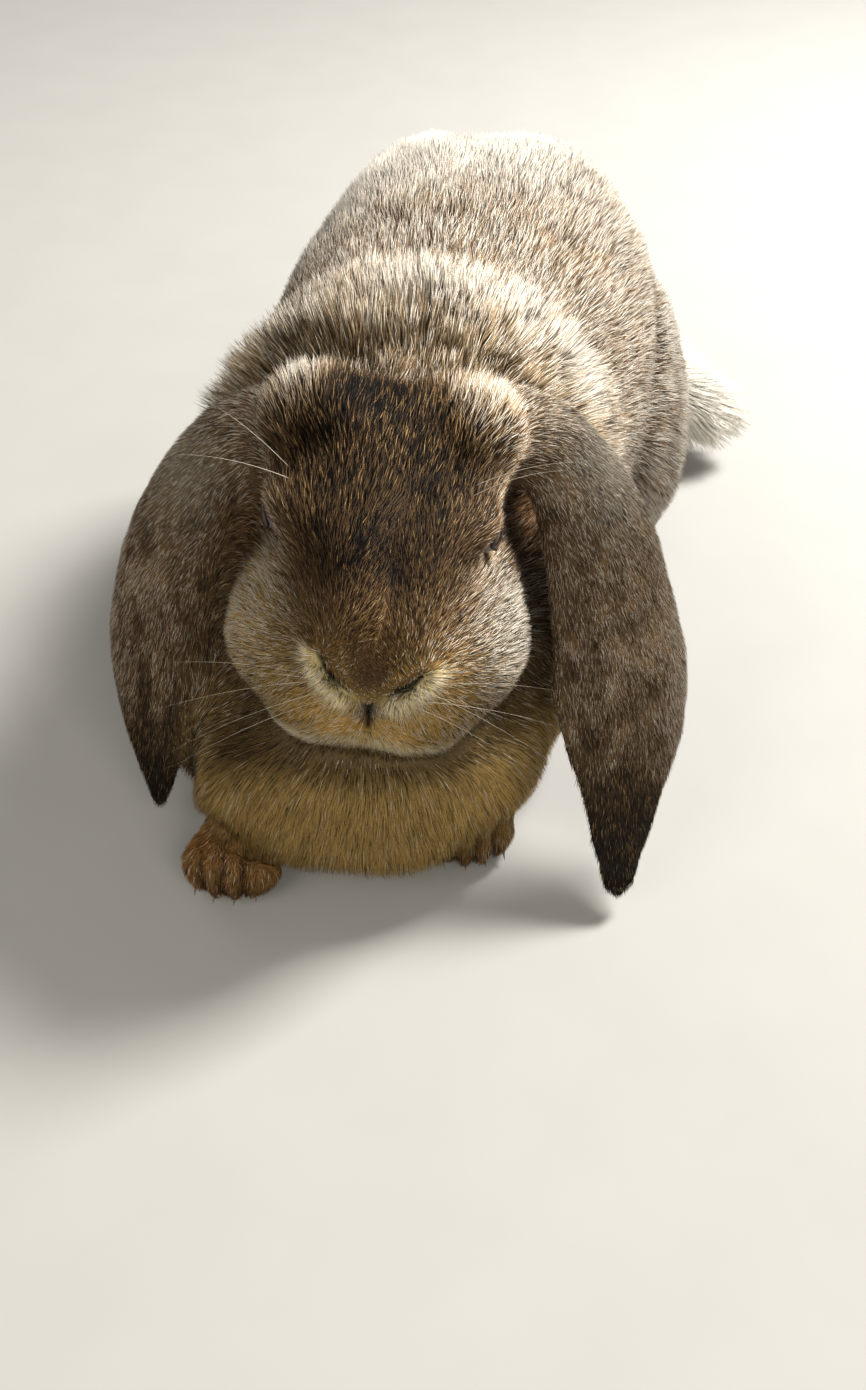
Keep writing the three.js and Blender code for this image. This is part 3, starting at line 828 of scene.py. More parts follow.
# Marks laid over these by form: ground, then the shares of cream, black and tan tips.
FORM_MARKS = {
    "ruff_patch": ("dark", 0.20, 0.50, 0.30),
    # pale tips and painted highlight on the ruff's outer edge
    "ruff_rim": ("silver", 0.88, 0.02, 0.10),
    # painted shade in the gaps behind the ears' roots
    "by_ear_root": ("dark", 0.02, 0.48, 0.50),
    "ruff_mottle": ("dark", 0.10, 0.62, 0.28),
    "body_mottle": ("dark", 0.25, 0.40, 0.35),
    "body_gold": ("tan", 0.35, 0.10, 0.55),
    # painted sheen on the top of the rump
    "rump": ("silver", 0.94, 0.0, 0.06),
    "chevron": ("black", 0.0, 0.9, 0.1),
    "slit_rim": ("orange", 0.25, 0.10, 0.65),
    "slit_ring": ("ring", 0.60, 0.04, 0.36),
    # bare dark skin and painted shade in the open nostril slits and the cleft
    "slit": ("bare", 0.0, 0.97, 0.03),
    "cleft": ("bare", 0.0, 0.90, 0.10),
    "eye_ring": ("tan", 0.55, 0.10, 0.35),
    "ear_mottle": ("dark", 0.05, 0.72, 0.23),
    "ear_gold": ("tan", 0.55, 0.10, 0.35),
    "ear_root": ("grey", 0.42, 0.28, 0.30),
    "ear_tip": ("black", 0.06, 0.84, 0.10),
    # pale outer edges of the ears, partly frosted hair and partly painted highlight
    "ear_edge": ("grey", 0.72, 0.04, 0.24),
    # painted shade under the jaw
    "throat": ("dark", 0.01, 0.49, 0.50),
    "breast": ("brown", 0.30, 0.20, 0.50),
    "toes": ("tan", 0.06, 0.10, 0.84),
    # painted shade in the gaps between the toes
    "toe_gap": ("dark", 0.01, 0.59, 0.40),
    # painted shade in the folds under the jaw, behind the ears and along the thighs
    "fold": ("dark", 0.0, 0.50, 0.50),
    "belly": ("white", 0.9, 0.0, 0.1),
}


class Dye:
    """Ground colour and shares of cream, black and tan tips at a set of points, mark over mark."""

    def __init__(self, points, shares):
        self.points = points
        self.shares = shares
        self.places = to_head(points)
        self.ground = shares @ np.array([COLOURS[MARKS[name][0]] for name in FLESH])
        self.tips = shares @ np.array([MARKS[name][1:] for name in FLESH])

    def share(self, node):
        """How much each point belongs to one flesh node."""
        return share_of(node, self.shares)

    def mottle(self, size, seed, low, high):
        """Patches of noise, from nothing to one."""
        return ramp(noise(self.points, size * MM, seed), low, high)

    def lay(self, part, mark):
        """Lays a mark, as strong at each point as the part says."""
        part = np.clip(part, 0, 1)[:, None]
        mark = FORM_MARKS.get(mark, mark)
        self.ground = self.ground + part * (COLOURS[mark[0]] - self.ground)
        self.tips = self.tips + part * (np.array(mark[1:]) - self.tips)


RUFF_WIDE = 92                # the ruff's outline round the head's middle, in millimetres
RUFF_HIGH = 79
RUFF_LEVEL = 134
RUFF_EDGE = (0.72, 0.98)
# Painted shade on the ruff behind the ears' roots, stronger on the left: middle in the head's frame and
# reach, in millimetres.
SHADE_BY_EAR_ROOT = ((62, 84, 150), (16, 22, 28))
RUFF_MOTTLES = [
    ((9, 139, 200), (17, 11, 14)),
    ((-14, 141, 202), (9, 8, 9)),
    ((38, 138, 192), (9, 8, 10)),
]


def ruff_rim(places):
    """One along the outer edge of the ruff, nothing near the head."""
    around = np.hypot(places[:, 0] / RUFF_WIDE, (places[:, 2] - RUFF_LEVEL) / RUFF_HIGH)
    return ramp(around, *RUFF_EDGE)


def dye_ruff(dye):
    """A mottled ruff with a silver rim of pale tips and painted highlight, brighter higher up, and painted
    shade behind the ears' roots.
    """
    neck = dye.share("neck")
    patch = noise(dye.points, 15 * MM, 14) + 0.5 * noise(dye.points, 6 * MM, 15)
    dye.lay(0.8 * ramp(patch, 0.0, 0.6) * neck, "ruff_patch")
    tufted = 0.35 + 0.65 * dye.mottle(22, 18, -0.4, 0.4)
    # Painted highlight: the rim grows paler higher up the ruff.
    high = 0.35 + 0.65 * ramp(dye.points[:, 2], 0.07, 0.15)
    dye.lay(ruff_rim(dye.places) * tufted * neck * high, "ruff_rim")
    (x, y, z), reach = SHADE_BY_EAR_ROOT
    for sign in (-1, 1):
        root = bump(dye.places, (sign * x, y, z), reach)
        dye.lay((1.2 + 0.4 * sign) * root * neck, "by_ear_root")
    for centre, reach in RUFF_MOTTLES:
        dye.lay(1.3 * bump(dye.places, centre, reach) * neck, "ruff_mottle")


# Painted sheen on the top of the rump, less towards the left haunch:
RUMP_STARTS = (215 * MM, 310 * MM)    # back from the datum
RUMP_RISES = (0.14, 0.19)
RUMP_FADES = (66 * MM, 104 * MM)      # towards the left haunch


def dye_body(dye):
    """Soft dark and golden mottles from neck to haunches, and a painted silver sheen on the top of the
    rump.
    """
    body = sum(dye.share(name) for name in ("neck", "trunk", "hind_leg_right", "hind_leg_left"))
    dye.lay(0.36 * body * dye.mottle(12, 19, 0.05, 0.7), "body_mottle")
    dye.lay(0.32 * body * dye.mottle(14, 20, 0.05, 0.7), "body_gold")
    rump = ramp(dye.points[:, 1] - DATUM[1], *RUMP_STARTS) * ramp(dye.points[:, 2], *RUMP_RISES)
    rump *= 1 - 0.75 * ramp(dye.points[:, 0] - DATUM[0], *RUMP_FADES)
    dye.lay(rump * dye.share("trunk"), "rump")


EYE_RING = 11.0 * MM
EYE_RING_REACH = 2.2 * MM


def dye_face(dye):
    """The face's marks, the chevron between the eyes, nostrils, cleft and rings round the eyes."""
    points = dye.points
    head = dye.share("head")
    for centre, reach, strength, mark in FACE_MARKS:
        dye.lay(strength * bump(dye.places, centre, reach) * head, mark)
    dye.lay(1.3 * bell(line_distance(points, CHEVRON)[0] / CHEVRON_REACH), "chevron")
    for slit in NOSTRILS:
        distance, along = face_distance(points, slit)
        rim = bell((distance - 2.0) / 1.3) * ramp(along, 0.3, 0.6)
        dye.lay(0.7 * rim, "slit_rim")
        dye.lay(1.3 * nostril_ring(points, slit), "slit_ring")
        # Bare dark skin with painted shade in each nostril slit, widest where it is open.
        dark = np.exp(-(distance / (0.5 + slit_width(along))) ** 4)
        dye.lay(1.3 * dark * ramp(along, 0.2, 0.5), "slit")
    # Bare dark skin with painted shade down the cleft of the lip.
    distance, along = face_distance(points, CLEFT)
    dye.lay(1.2 * bell(distance / (1.35 - 0.6 * along)), "cleft")
    for side in EYES:
        outward = eye_axes(side)[0]
        away = np.linalg.norm(points - EYES[side] - outward * 4 * MM, axis=1)
        dye.lay(0.8 * bell((away - EYE_RING) / EYE_RING_REACH), "eye_ring")


EAR_STREAKS = np.array([1, 1, 0.45])      # mottles drawn out down the ear
# Pale outer edges, partly frosted hair and partly painted highlight, stronger on the left ear: ear, side
# and strength.
EAR_FROST_AND_HIGHLIGHT = [("ear_left", 1, 0.8), ("ear_right", -1, 0.35)]
EAR_SHOULDER_AND_HIGHLIGHT = (88, 97, 163)              # out from the ears' middle, back and up from the datum
SHOULDER_REACH = np.array((20, 25, 24)) * MM
EARS_MIDDLE = 10
OUTER_EDGE = (11 * MM, 25 * MM)


def dye_ears(dye):
    """Mottled ears with grey roots and shoulders, paler outer edges and black tips; edges and shoulder are
    paler on the left ear as painted highlight.
    """
    points = dye.points
    ears = dye.share("ear_right") + dye.share("ear_left")
    long_places = points * EAR_STREAKS
    dye.lay(0.62 * ears * ramp(noise(long_places, 5 * MM, 16), -0.1, 0.7), "ear_mottle")
    dye.lay(0.46 * ears * ramp(noise(long_places, 6 * MM, 17), 0.0, 0.7), "ear_gold")
    for name, sign, frost_and_highlight in EAR_FROST_AND_HIGHLIGHT:
        along, _, nearest = line_distance(points, EAR_LINES[name])[1:]
        ear = dye.share(name)
        dye.lay(ear * fall(along, 0.02, 0.2) * 0.8, "ear_root")
        dye.lay(ear * (0.9 * ramp(along, 0.62, 0.92)), "ear_tip")
        x, y, z = EAR_SHOULDER_AND_HIGHLIGHT
        shoulder = bump(points, set_out((EARS_MIDDLE + sign * x, y, z)), SHOULDER_REACH)
        # Grey shoulders; the left one has more pale tips as painted highlight.
        dye.lay(0.95 * shoulder * ear, ("ash", 0.40 + 0.2 * sign, 0.06, 0.54 - 0.2 * sign))
        outer = ramp(sign * (points[:, 0] - nearest[:, 0]), *OUTER_EDGE)
        outer *= fall(along, 0.68, 0.9)
        dye.lay(frost_and_highlight * outer * ear, "ear_edge")


# Painted shade on the throat: the heights where it starts and where it is full, in metres.
THROAT_SHADE_HEIGHT = (0.064, 0.084)
THROAT_SHADE = ((-60, 24, 74), (24, 24, 14))    # middle from the datum and reach of the painted shade under the chin, in millimetres
BREAST_STARTS = (50 * MM, 85 * MM)


def dye_chest(dye):
    """Painted shade on the throat under the jaw, darker higher up, over the dewlap, and a brown breast
    behind it.
    """
    height = dye.points[:, 2]
    chest = dye.share("chest")
    centre, reach = THROAT_SHADE
    throat = 0.6 * ramp(height, *THROAT_SHADE_HEIGHT) + bump(dye.points, set_out(centre), np.array(reach) * MM)
    dye.lay(throat * chest, "throat")
    breast = chest * ramp(dye.points[:, 1] - DATUM[1], *BREAST_STARTS)
    dye.lay(breast * (0.4 + 0.6 * ramp(height, 0.01, 0.05)), "breast")


GAP_SHADE_REACH = 2.0 * MM     # half width of the painted shade between the toes


def dye_feet(dye):
    """Paler toes with painted shade in the gaps between them."""
    for foot in FEET:
        place = foot_places(dye.points, foot)
        share = dye.share(foot)
        toes = fall(place[:, 1], 2 * MM, 18 * MM) * fall(place[:, 2], 24 * MM, 40 * MM)
        dye.lay(0.5 * toes * share, "toes")
        front = fall(place[:, 1], 10 * MM, 22 * MM) * fall(place[:, 2], 18 * MM, 30 * MM)
        for groove in TOE_GROOVES:
            gap_shade = bell((place[:, 0] - groove * TOE_SPREAD) / GAP_SHADE_REACH)
            dye.lay(0.75 * (gap_shade * front) * share, "toe_gap")


BELLY_RISES = (12 * MM, 34 * MM)


def markings(points, shares):
    """Ground colour and the shares of cream, black and tan tips at each point."""
    dye = Dye(points, shares)
    for part in (dye_ruff, dye_body, dye_face, dye_ears, dye_chest, dye_feet):
        part(dye)
    # Painted shade: the coat darkens in the folds under the jaw, behind the ears and along the thighs.
    dye.lay(0.9 * crease(shares, points) ** 2, "fold")
    dye.lay(fall(points[:, 2], *BELLY_RISES) * dye.share("trunk"), "belly")
    return dye.ground, dye.tips


# ---------------------------------------------------------------- coat of tufts

SINK = 0.7 * MM
FLOOR_GAP = 0.3 * MM
BAKE_PATCH = 0.003
BENT_OVER = 15 * MM      # hair longer than this bends between root and tip


def skin_arrays(piece, shares):
    """What the coat needs to know of the skin: triangles, and at each vertex its place and fields."""
    mesh = piece.data
    mesh.calc_loop_triangles()
    corners = field_rows(mesh.loop_triangles, "vertices", 3, np.int32)
    points = coordinates(mesh)
    outward = unit(spread(normals(mesh), edges(mesh), 2))
    lie = lie_of_coat(points, outward, shares)
    lie = flatten(spread(lie, edges(mesh), 10), outward)
    values = coat_values(points, shares)
    return {"corners": corners, "points": points, "outward": outward, "lie": lie, "values": values,
            "shares": shares}


def unwrapped(skin, chosen):
    """An unwrap of the chosen triangles of the skin: three map places for each."""
    corners = skin["corners"][chosen]
    used, index = np.unique(corners, return_inverse=True)
    mesh = bpy.data.meshes.new("unwrap")
    mesh.from_pydata(skin["points"][used], [], index.reshape(-1, 3))
    piece = add_object("unwrap", mesh)
    bpy.context.view_layer.objects.active = piece
    piece.select_set(True)
    bpy.ops.object.mode_set(mode="EDIT")
    bpy.ops.mesh.select_all(action="SELECT")
    bpy.ops.uv.smart_project(angle_limit=math.radians(66), island_margin=0.004)
    bpy.ops.object.mode_set(mode="OBJECT")
    places = field_rows(mesh.uv_layers[0].data, "uv", 2)
    bpy.data.objects.remove(piece)
    bpy.data.meshes.remove(mesh)
    return places.reshape(-1, 3, 2)


FACING_DOWN = -0.75
BELLY_HEIGHT = 14 * MM
BELLY_THIN = 0.2         # how many of the tufts grow under the belly


def scatter(skin, chosen):
    """Root places over the chosen triangles: which triangle, and the shares of its corners."""
    corners = skin["corners"][chosen]
    a, b, c = (skin["points"][corners[:, n]] for n in range(3))
    area = np.linalg.norm(np.cross(b - a, c - a), axis=1) / 2
    spacing = skin["values"][corners, SPACING].mean(axis=1)
    under = skin["outward"][corners, 2].mean(axis=1) < FACING_DOWN
    low = skin["points"][corners, 2].mean(axis=1) < BELLY_HEIGHT
    wanted = area / spacing ** 2 * np.where(under & low, BELLY_THIN, 1.0)
    total = np.cumsum(wanted)
    count = int(total[-1])
    picks = (np.arange(count) + CHANCE.random(count)) / count * total[-1]
    triangle = np.searchsorted(total, picks).clip(0, len(wanted) - 1)
    first = np.sqrt(CHANCE.random(count))
    second = CHANCE.random(count)
    weights = np.stack([1 - first, first * (1 - second), first * second], axis=1)
    return triangle, weights


LOCK_WARP = 0.7          # how uneven the locks' outlines are


def gathered(roots, places, clump, pull):
    """Hair places drawn towards the middle of their own lock, locks being about clump across."""
    warp = np.stack([noise(roots, 1.6 * clump, seed) for seed in (11, 12, 13)], axis=1)
    cells = np.floor(roots / clump + LOCK_WARP * warp).astype(np.int64)
    lock = np.unique(cells, axis=0, return_inverse=True)[1].ravel()
    size = np.bincount(lock)
    means = np.stack([np.bincount(lock, places[:, n]) / size for n in range(3)], axis=1)
    return places + pull * (means[lock] - places)


def rooted(skin, chosen):
    """The roots on the chosen triangles, with the skin's fields there."""
    maps = unwrapped(skin, chosen)
    triangle, weights = scatter(skin, chosen)
    corners = skin["corners"][chosen][triangle]
    places = np.einsum("ij,ij...->i...", weights, skin["points"][corners])
    hair = {"points": places, "bake": np.einsum("ij,ijk->ik", weights, maps[triangle])}
    keep = ~bare(places)
    corners, weights = corners[keep], weights[keep]
    hair = {name: field[keep] for name, field in hair.items()}
    for name in ("outward", "lie", "values", "shares"):
        hair[name] = np.einsum("ij,ij...->i...", weights, skin[name][corners])
    hair["outward"] = unit(hair["outward"])
    hair["lie"] = flatten(hair["lie"], hair["outward"])
    return hair


SWING_CHANCE = 13        # degrees that a tuft turns from the lie, each by itself
SWING_WAVES = ((20, 13 * MM, 3), (10, 5 * MM, 4))    # and with its neighbours: degrees, size and seed
BEND_AT = 0.45           # where along a tuft it bends
ROOT_RISES = (4, 80)     # the least and most that tufts stand up, in degrees
TIP_RISES = (2, 75)


def tuft_places(hair, clump, pull, stray):
    """Bend and tip of each tuft, and its length."""
    roots, outward, values = hair["points"], hair["outward"], hair["values"]
    count = len(roots)
    (wide, wide_size, wide_seed), (close, close_size, close_seed) = SWING_WAVES
    swing = np.radians(SWING_CHANCE * CHANCE.standard_normal(count)
                       + wide * noise(roots, wide_size, wide_seed)
                       + close * noise(roots, close_size, close_seed)) * stray
    side = np.cross(outward, hair["lie"])
    lie = hair["lie"] * np.cos(swing)[:, None] + side * np.sin(swing)[:, None]
    length = values[:, LENGTH] * (0.78 + 0.44 * CHANCE.random(count)) * (1 + 0.10 * noise(roots, 9 * MM, 5))
    length = length[:, None]
    tousle = 1 + stray * (0.35 * noise(roots, 8 * MM, 6) + 0.18 * CHANCE.standard_normal(count))
    rise = np.radians(np.clip(values[:, ROOT_RISE] * tousle, *ROOT_RISES))[:, None]
    tip_rise = np.radians(np.clip(values[:, TIP_RISE] * tousle, *TIP_RISES))[:, None]
    first = np.cos(rise) * lie + np.sin(rise) * outward
    last = np.cos(tip_rise) * lie + np.sin(tip_rise) * outward
    bends = roots + BEND_AT * length * first
    tips = bends + (1 - BEND_AT) * length * last
    return gathered(roots, bends, clump, 0.4 * pull), gathered(roots, tips, clump, pull), length


TONE_CHANCE = 0.28       # how much tufts differ in tone, each by itself
TONE_WAVES = ((0.18, 4.5 * MM, 9), (0.14, 42 * MM, 8))   # and with their neighbours
TONE_RANGE = (0.3, 1.9)
PALE_ON = (0.03, 0.14)   # pale tips are golden on ground darker than this
ROOT_DARK = 0.36         # root and middle, as shares of the ground colour; the dark root is partly the dark undercoat, partly painted shade deep in the coat
LONG_HAIR_SHADE = 0.16
CHEST_LIGHTER = 0.13
MIDDLE_DARK = 0.72


def tuft_colours(hair, length):
    """Colours at the root, bend and tip of each tuft."""
    roots, shares = hair["points"], hair["shares"]
    count = len(roots)
    ground, tip_shares = markings(roots, shares)
    tone = 1 + TONE_CHANCE * CHANCE.standard_normal(count) + 0.22 * noise(roots, 11 * MM, 7)
    for part, size, seed in TONE_WAVES:
        tone = tone + part * noise(roots, size, seed)
    shade = tone.clip(*TONE_RANGE)[:, None]
    pick = CHANCE.random(count)[:, None]
    cream, black, _ = np.cumsum(tip_shares, axis=1)[:, :, None].transpose(1, 0, 2)
    light = ramp(ground.mean(axis=1), *PALE_ON)[:, None]
    pale = light * COLOURS["cream"] + (1 - light) * COLOURS["gold"]
    tan = 0.22 * COLOURS["tan"] + 0.95 * ground
    tip_colour = np.where(pick < cream, pale, np.where(pick < black, COLOURS["black"], tan))
    # Dark roots: the dark undercoat and painted shade deep in the coat, deeper under longer hair.
    root_dark_and_shade = ROOT_DARK - LONG_HAIR_SHADE * ramp(length, 4 * MM, 9 * MM)
    root_dark_and_shade = root_dark_and_shade + CHEST_LIGHTER * share_of("chest", shares)[:, None]
    return ground * root_dark_and_shade * shade, ground * MIDDLE_DARK * shade, tip_colour * (0.75 + 0.25 * shade)


def grow(name, skin, chosen, material, clump, pull, stray):
    """One piece of coat over the chosen triangles of the skin."""
    hair = rooted(skin, chosen)
    count = len(hair["points"])
    bends, tips, length = tuft_places(hair, clump, pull, stray)
    width = hair["values"][:, WIDTH] * (0.7 + 0.6 * CHANCE.random(count))
    turn = CHANCE.random(count) * 2 * math.pi
    root_colour, bend_colour, tip_colour = tuft_colours(hair, length)
    base = (hair["points"] - SINK * hair["outward"], 1, root_colour, 0.0)
    bend = (bends, 3, bend_colour, BEND_AT)
    tip = (tips, 1, tip_colour, 1.0)
    foot = (base[0], 3, root_colour, 0.0)
    bent = length[:, 0] > BENT_OVER
    parts = []
    for group, rings in ((np.flatnonzero(bent), (base, bend, tip)), (np.flatnonzero(~bent), (foot, tip))):
        if len(group):
            chosen_rings = [(place[group], spokes, colour[group], along)
                            for place, spokes, colour, along in rings]
            parts.append(tuft_group(chosen_rings, hair["outward"][group], width[group], turn[group],
                                    hair["bake"][group]))
    mesh = joined_tufts(name, parts)
    mesh.materials.append(material)
    piece = add_object(name, mesh)
    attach(piece, "root")
    print(name, count, "tufts", len(mesh.polygons), "triangles")


# Faces of a tuft: a spindle has a point, a ring of three and a point, a spike a ring of three and a point.
SPINDLE = [(0, 2, 1), (0, 3, 2), (0, 1, 3), (1, 2, 4), (2, 3, 4), (3, 1, 4)]
SPIKE = [(2, 1, 0), (0, 1, 3), (1, 2, 3), (2, 0, 3)]
TUFT_FLAT = 0.7          # a tuft's thickness, as a share of its width


def tuft_group(rings, outward, width, turn, bake):
    """Vertices, faces, colours and map places of tufts of one form: points, and a ring of three."""
    count = len(width)
    size = sum(spokes for _, spokes, _, _ in rings)
    points = np.empty((count, size, 3))
    colours = np.empty((count, size, 3))
    maps = np.empty((count, size, 2))
    index = 0
    axis = unit(rings[-1][0] - rings[0][0])
    across = unit(np.cross(axis, outward))
    other = np.cross(across, axis)
    for centre, spokes, colour, along in rings:
        for n in range(spokes):
            angle = turn + n * 2 * math.pi / 3
            arm = np.cos(angle)[:, None] * across + TUFT_FLAT * np.sin(angle)[:, None] * other
            points[:, index] = centre + (spokes > 1) * 0.5 * width[:, None] * arm
            colours[:, index] = colour
            maps[:, index] = bake + np.array([(n - 1) * (spokes > 1) * 0.5, along - 0.5]) * BAKE_PATCH
            index += 1
    faces = np.array(SPIKE if len(rings) == 2 else SPINDLE)
    faces = faces[None] + (np.arange(count) * size)[:, None, None]
    return points.reshape(-1, 3), faces.reshape(-1, 3), colours.reshape(-1, 3), maps.reshape(-1, 2)


def joined_tufts(name, parts):
    """One mesh of all the tufts, with their colours and the bake map."""
    starts = np.cumsum([0] + [len(part[0]) for part in parts])
    points = np.concatenate([part[0] for part in parts])
    points[:, 2] = np.maximum(points[:, 2], FLOOR_GAP)
    faces = np.concatenate([part[1] + start for part, start in zip(parts, starts)])
    colours = np.concatenate([part[2] for part in parts])
    maps = np.concatenate([part[3] for part in parts])
    mesh = bpy.data.meshes.new(name)
    mesh.vertices.add(len(points))
    mesh.vertices.foreach_set("co", points.ravel())
    mesh.loops.add(faces.size)
    mesh.loops.foreach_set("vertex_index", faces.ravel().astype(np.int32))
    mesh.polygons.add(len(faces))
    mesh.polygons.foreach_set("loop_start", np.arange(0, faces.size, 3, dtype=np.int32))
    mesh.update(calc_edges=True)
    paint(mesh, colours)
    layer = mesh.uv_layers.new(name="OFBake")
    layer.data.foreach_set("uv", np.clip(maps, 0, 1)[faces.ravel()].ravel())
    mesh.shade_smooth()
    return mesh


BARE_REACH = 0.9   # millimetres either side of a slit without hair
EYE_BARE = 14 * MM


def bare(points):
    """Where no hair grows: in the nostrils, the cleft and between the lids."""
    empty = np.zeros(len(points), bool)
    for line in (*NOSTRILS, CLEFT):
        distance, along = face_distance(points, line)
        width = 1 - along if line is CLEFT else slit_width(along)
        empty |= distance < BARE_REACH * (0.25 + 0.75 * width)
    for side in EYES:
        outward, along, up = eye_axes(side)
        offset = points - EYES[side]
        spot = unit(offset)
        opening = lid_edge(spot @ along / 1.08) * 1.1 - np.abs(spot @ up)
        empty |= (opening > -0.05) & (spot @ outward > 0) & (np.linalg.norm(offset, axis=1) < EYE_BARE)
    return empty


# ---------------------------------------------------------------- materials


def new_material(name, roughness, specular):
    """A material of one shader and noise over Object places, with its nodes, links, noise and shader."""
    material = bpy.data.materials.new(name)
    material.use_nodes = True
    nodes = material.node_tree.nodes
    links = material.node_tree.links
    place = nodes.new("ShaderNodeTexCoord")
    grain = nodes.new("ShaderNodeTexNoise")
    links.new(place.outputs["Object"], grain.inputs["Vector"])
    shader = nodes["Principled BSDF"]
    shader.inputs["Roughness"].default_value = roughness
    shader.inputs["Specular IOR Level"].default_value = specular
    return material, nodes, links, grain, shader


def streaked_material(name, scale, detail, strengths, roughness, specular):
    """The piece's own coat colours, streaked from the weaker to the stronger by fine noise."""
    material, nodes, links, grain, shader = new_material(name, roughness, specular)
    grain.inputs["Scale"].default_value = scale
    grain.inputs["Detail"].default_value = detail
    colour = nodes.new("ShaderNodeAttribute")
    colour.attribute_name = "coat"
    strength = nodes.new("ShaderNodeMapRange")
    strength.inputs["To Min"].default_value, strength.inputs["To Max"].default_value = strengths
    links.new(grain.outputs["Fac"], strength.inputs["Value"])
    streak = nodes.new("ShaderNodeVectorMath")
    streak.operation = "SCALE"
    links.new(colour.outputs["Color"], streak.inputs[0])
    links.new(strength.outputs["Result"], streak.inputs["Scale"])
    links.new(streak.outputs["Vector"], shader.inputs["Base Color"])
    return material, nodes, links, grain, shader


def fur_material():
    """Hair coloured by its own tuft, with finer streaks."""
    return streaked_material("fur", 1400, 2, (0.55, 1.45), 0.62, 0.06)[0]


def skin_material():
    """The skin between the hairs: the coat's own ground colour, darker as painted shade deep in the coat,
    with short flat hair as bump.
    """
    material, nodes, links, grain, shader = streaked_material("skin", 900, 4, (0.3, 0.95), 0.75, 0.2)
    relief = nodes.new("ShaderNodeBump")
    relief.inputs["Strength"].default_value = 0.6
    relief.inputs["Distance"].default_value = 0.0006
    links.new(grain.outputs["Fac"], relief.inputs["Height"])
    links.new(relief.outputs["Normal"], shader.inputs["Normal"])
    return material


def eye_material():
    """A wet dark eye: rings of colour under a clear coat."""
    material, *_, shader = streaked_material("eye", 700, 2, (0.8, 1.2), 0.12, 0.5)
    shader.inputs["Coat Weight"].default_value = 1.0
    shader.inputs["Coat Roughness"].default_value = 0.03
    return material


def plain_material(name, colour, second, scale, roughness, specular=0.5):
    """A small piece's finish: two close colours in fine noise."""
    material, nodes, links, grain, shader = new_material(name, roughness, specular)
    grain.inputs["Scale"].default_value = scale
    blend = nodes.new("ShaderNodeMix")
    blend.data_type = "RGBA"
    links.new(grain.outputs["Fac"], blend.inputs["Factor"])
    blend.inputs["A"].default_value = (*srgb(colour), 1)
    blend.inputs["B"].default_value = (*srgb(second), 1)
    links.new(blend.outputs["Result"], shader.inputs["Base Color"])
    return material


# ---------------------------------------------------------------- the rabbit

SKIN_SHADE = 0.55        # the skin's colour, as a share of the coat's ground colour: painted shade, so the skin between the tufts reads as deep coat
SHARE_ROUNDS = 4
MUZZLE_BACK = 48        # the muzzle's coat ends here, in the head's frame in millimetres
BACK_HEIGHT = 0.13


def finish_piece(piece, material):
    """Gives a piece its material, body and slot."""
    piece.data.materials.clear()
    piece.data.materials.append(material)
    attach(piece, "root")


skin_piece = build_skin()
skin_points = coordinates(skin_piece.data)
skin_shares = node_shares(skin_points)
skin_shares = spread(skin_shares, edges(skin_piece.data), SHARE_ROUNDS)
skin_shares /= skin_shares.sum(axis=1, keepdims=True)
paint(skin_piece.data, markings(skin_points, skin_shares)[0] * SKIN_SHADE)
skin_piece.data.materials.clear()
skin_piece.data.materials.append(skin_material())
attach(skin_piece, "root")
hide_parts(*FLESH)
print("skin", len(skin_piece.data.vertices), "vertices")

skin = skin_arrays(skin_piece, skin_shares)
fur = fur_material()
corner_shares = skin["shares"][skin["corners"]].mean(axis=1)
belongs = np.array(FLESH)[corner_shares.argmax(axis=1)]
centre_places = skin["points"][skin["corners"]].mean(axis=1)
front = to_head(centre_places)[:, 1] < MUZZLE_BACK
on_back = centre_places[:, 2] > BACK_HEIGHT
PIECES = [  # name, skin triangles, slot, size of the locks in millimetres, how far they gather, stray
    ("coat_muzzle", (belongs == "head") & front, "fur_head", 3.0, 0.14, 0.9),
    ("coat_crown", (belongs == "head") & ~front, "fur_head", 4.5, 0.22, 1.0),
    ("coat_ruff", belongs == "neck", "fur_body", 9.0, 0.40, 1.0),
    ("coat_chest", belongs == "chest", "fur_chest", 4.0, 0.12, 0.45),
    ("coat_back", (belongs == "trunk") & on_back, "fur_body", 4.5, 0.16, 0.8),
    ("coat_flanks", (belongs == "trunk") & ~on_back, "fur_body", 4.5, 0.16, 0.8),
    ("coat_haunch_right", belongs == "hind_leg_right", "fur_body", 4.5, 0.16, 0.8),
    ("coat_haunch_left", belongs == "hind_leg_left", "fur_body", 4.5, 0.16, 0.8),
    ("coat_foreleg_right", belongs == "foreleg_right", "fur_foot", 3.5, 0.2, 0.8),
    ("coat_foreleg_left", belongs == "foreleg_left", "fur_foot", 3.5, 0.2, 0.8),
    ("coat_ear_right", belongs == "ear_right", "fur_ear", 3.0, 0.15, 0.7),
    ("coat_ear_left", belongs == "ear_left", "fur_ear", 3.0, 0.15, 0.7),
    ("coat_tail", belongs == "tail", "fur_white", 7.0, 0.35, 1.0),
]
for piece_name, chosen, slot_name, lock_size, lock_pull, stray in PIECES:
    grow(piece_name, skin, np.flatnonzero(chosen), fur, lock_size * MM, lock_pull, stray)


# ---------------------------------------------------------------- eyes, lids, claws and whiskers


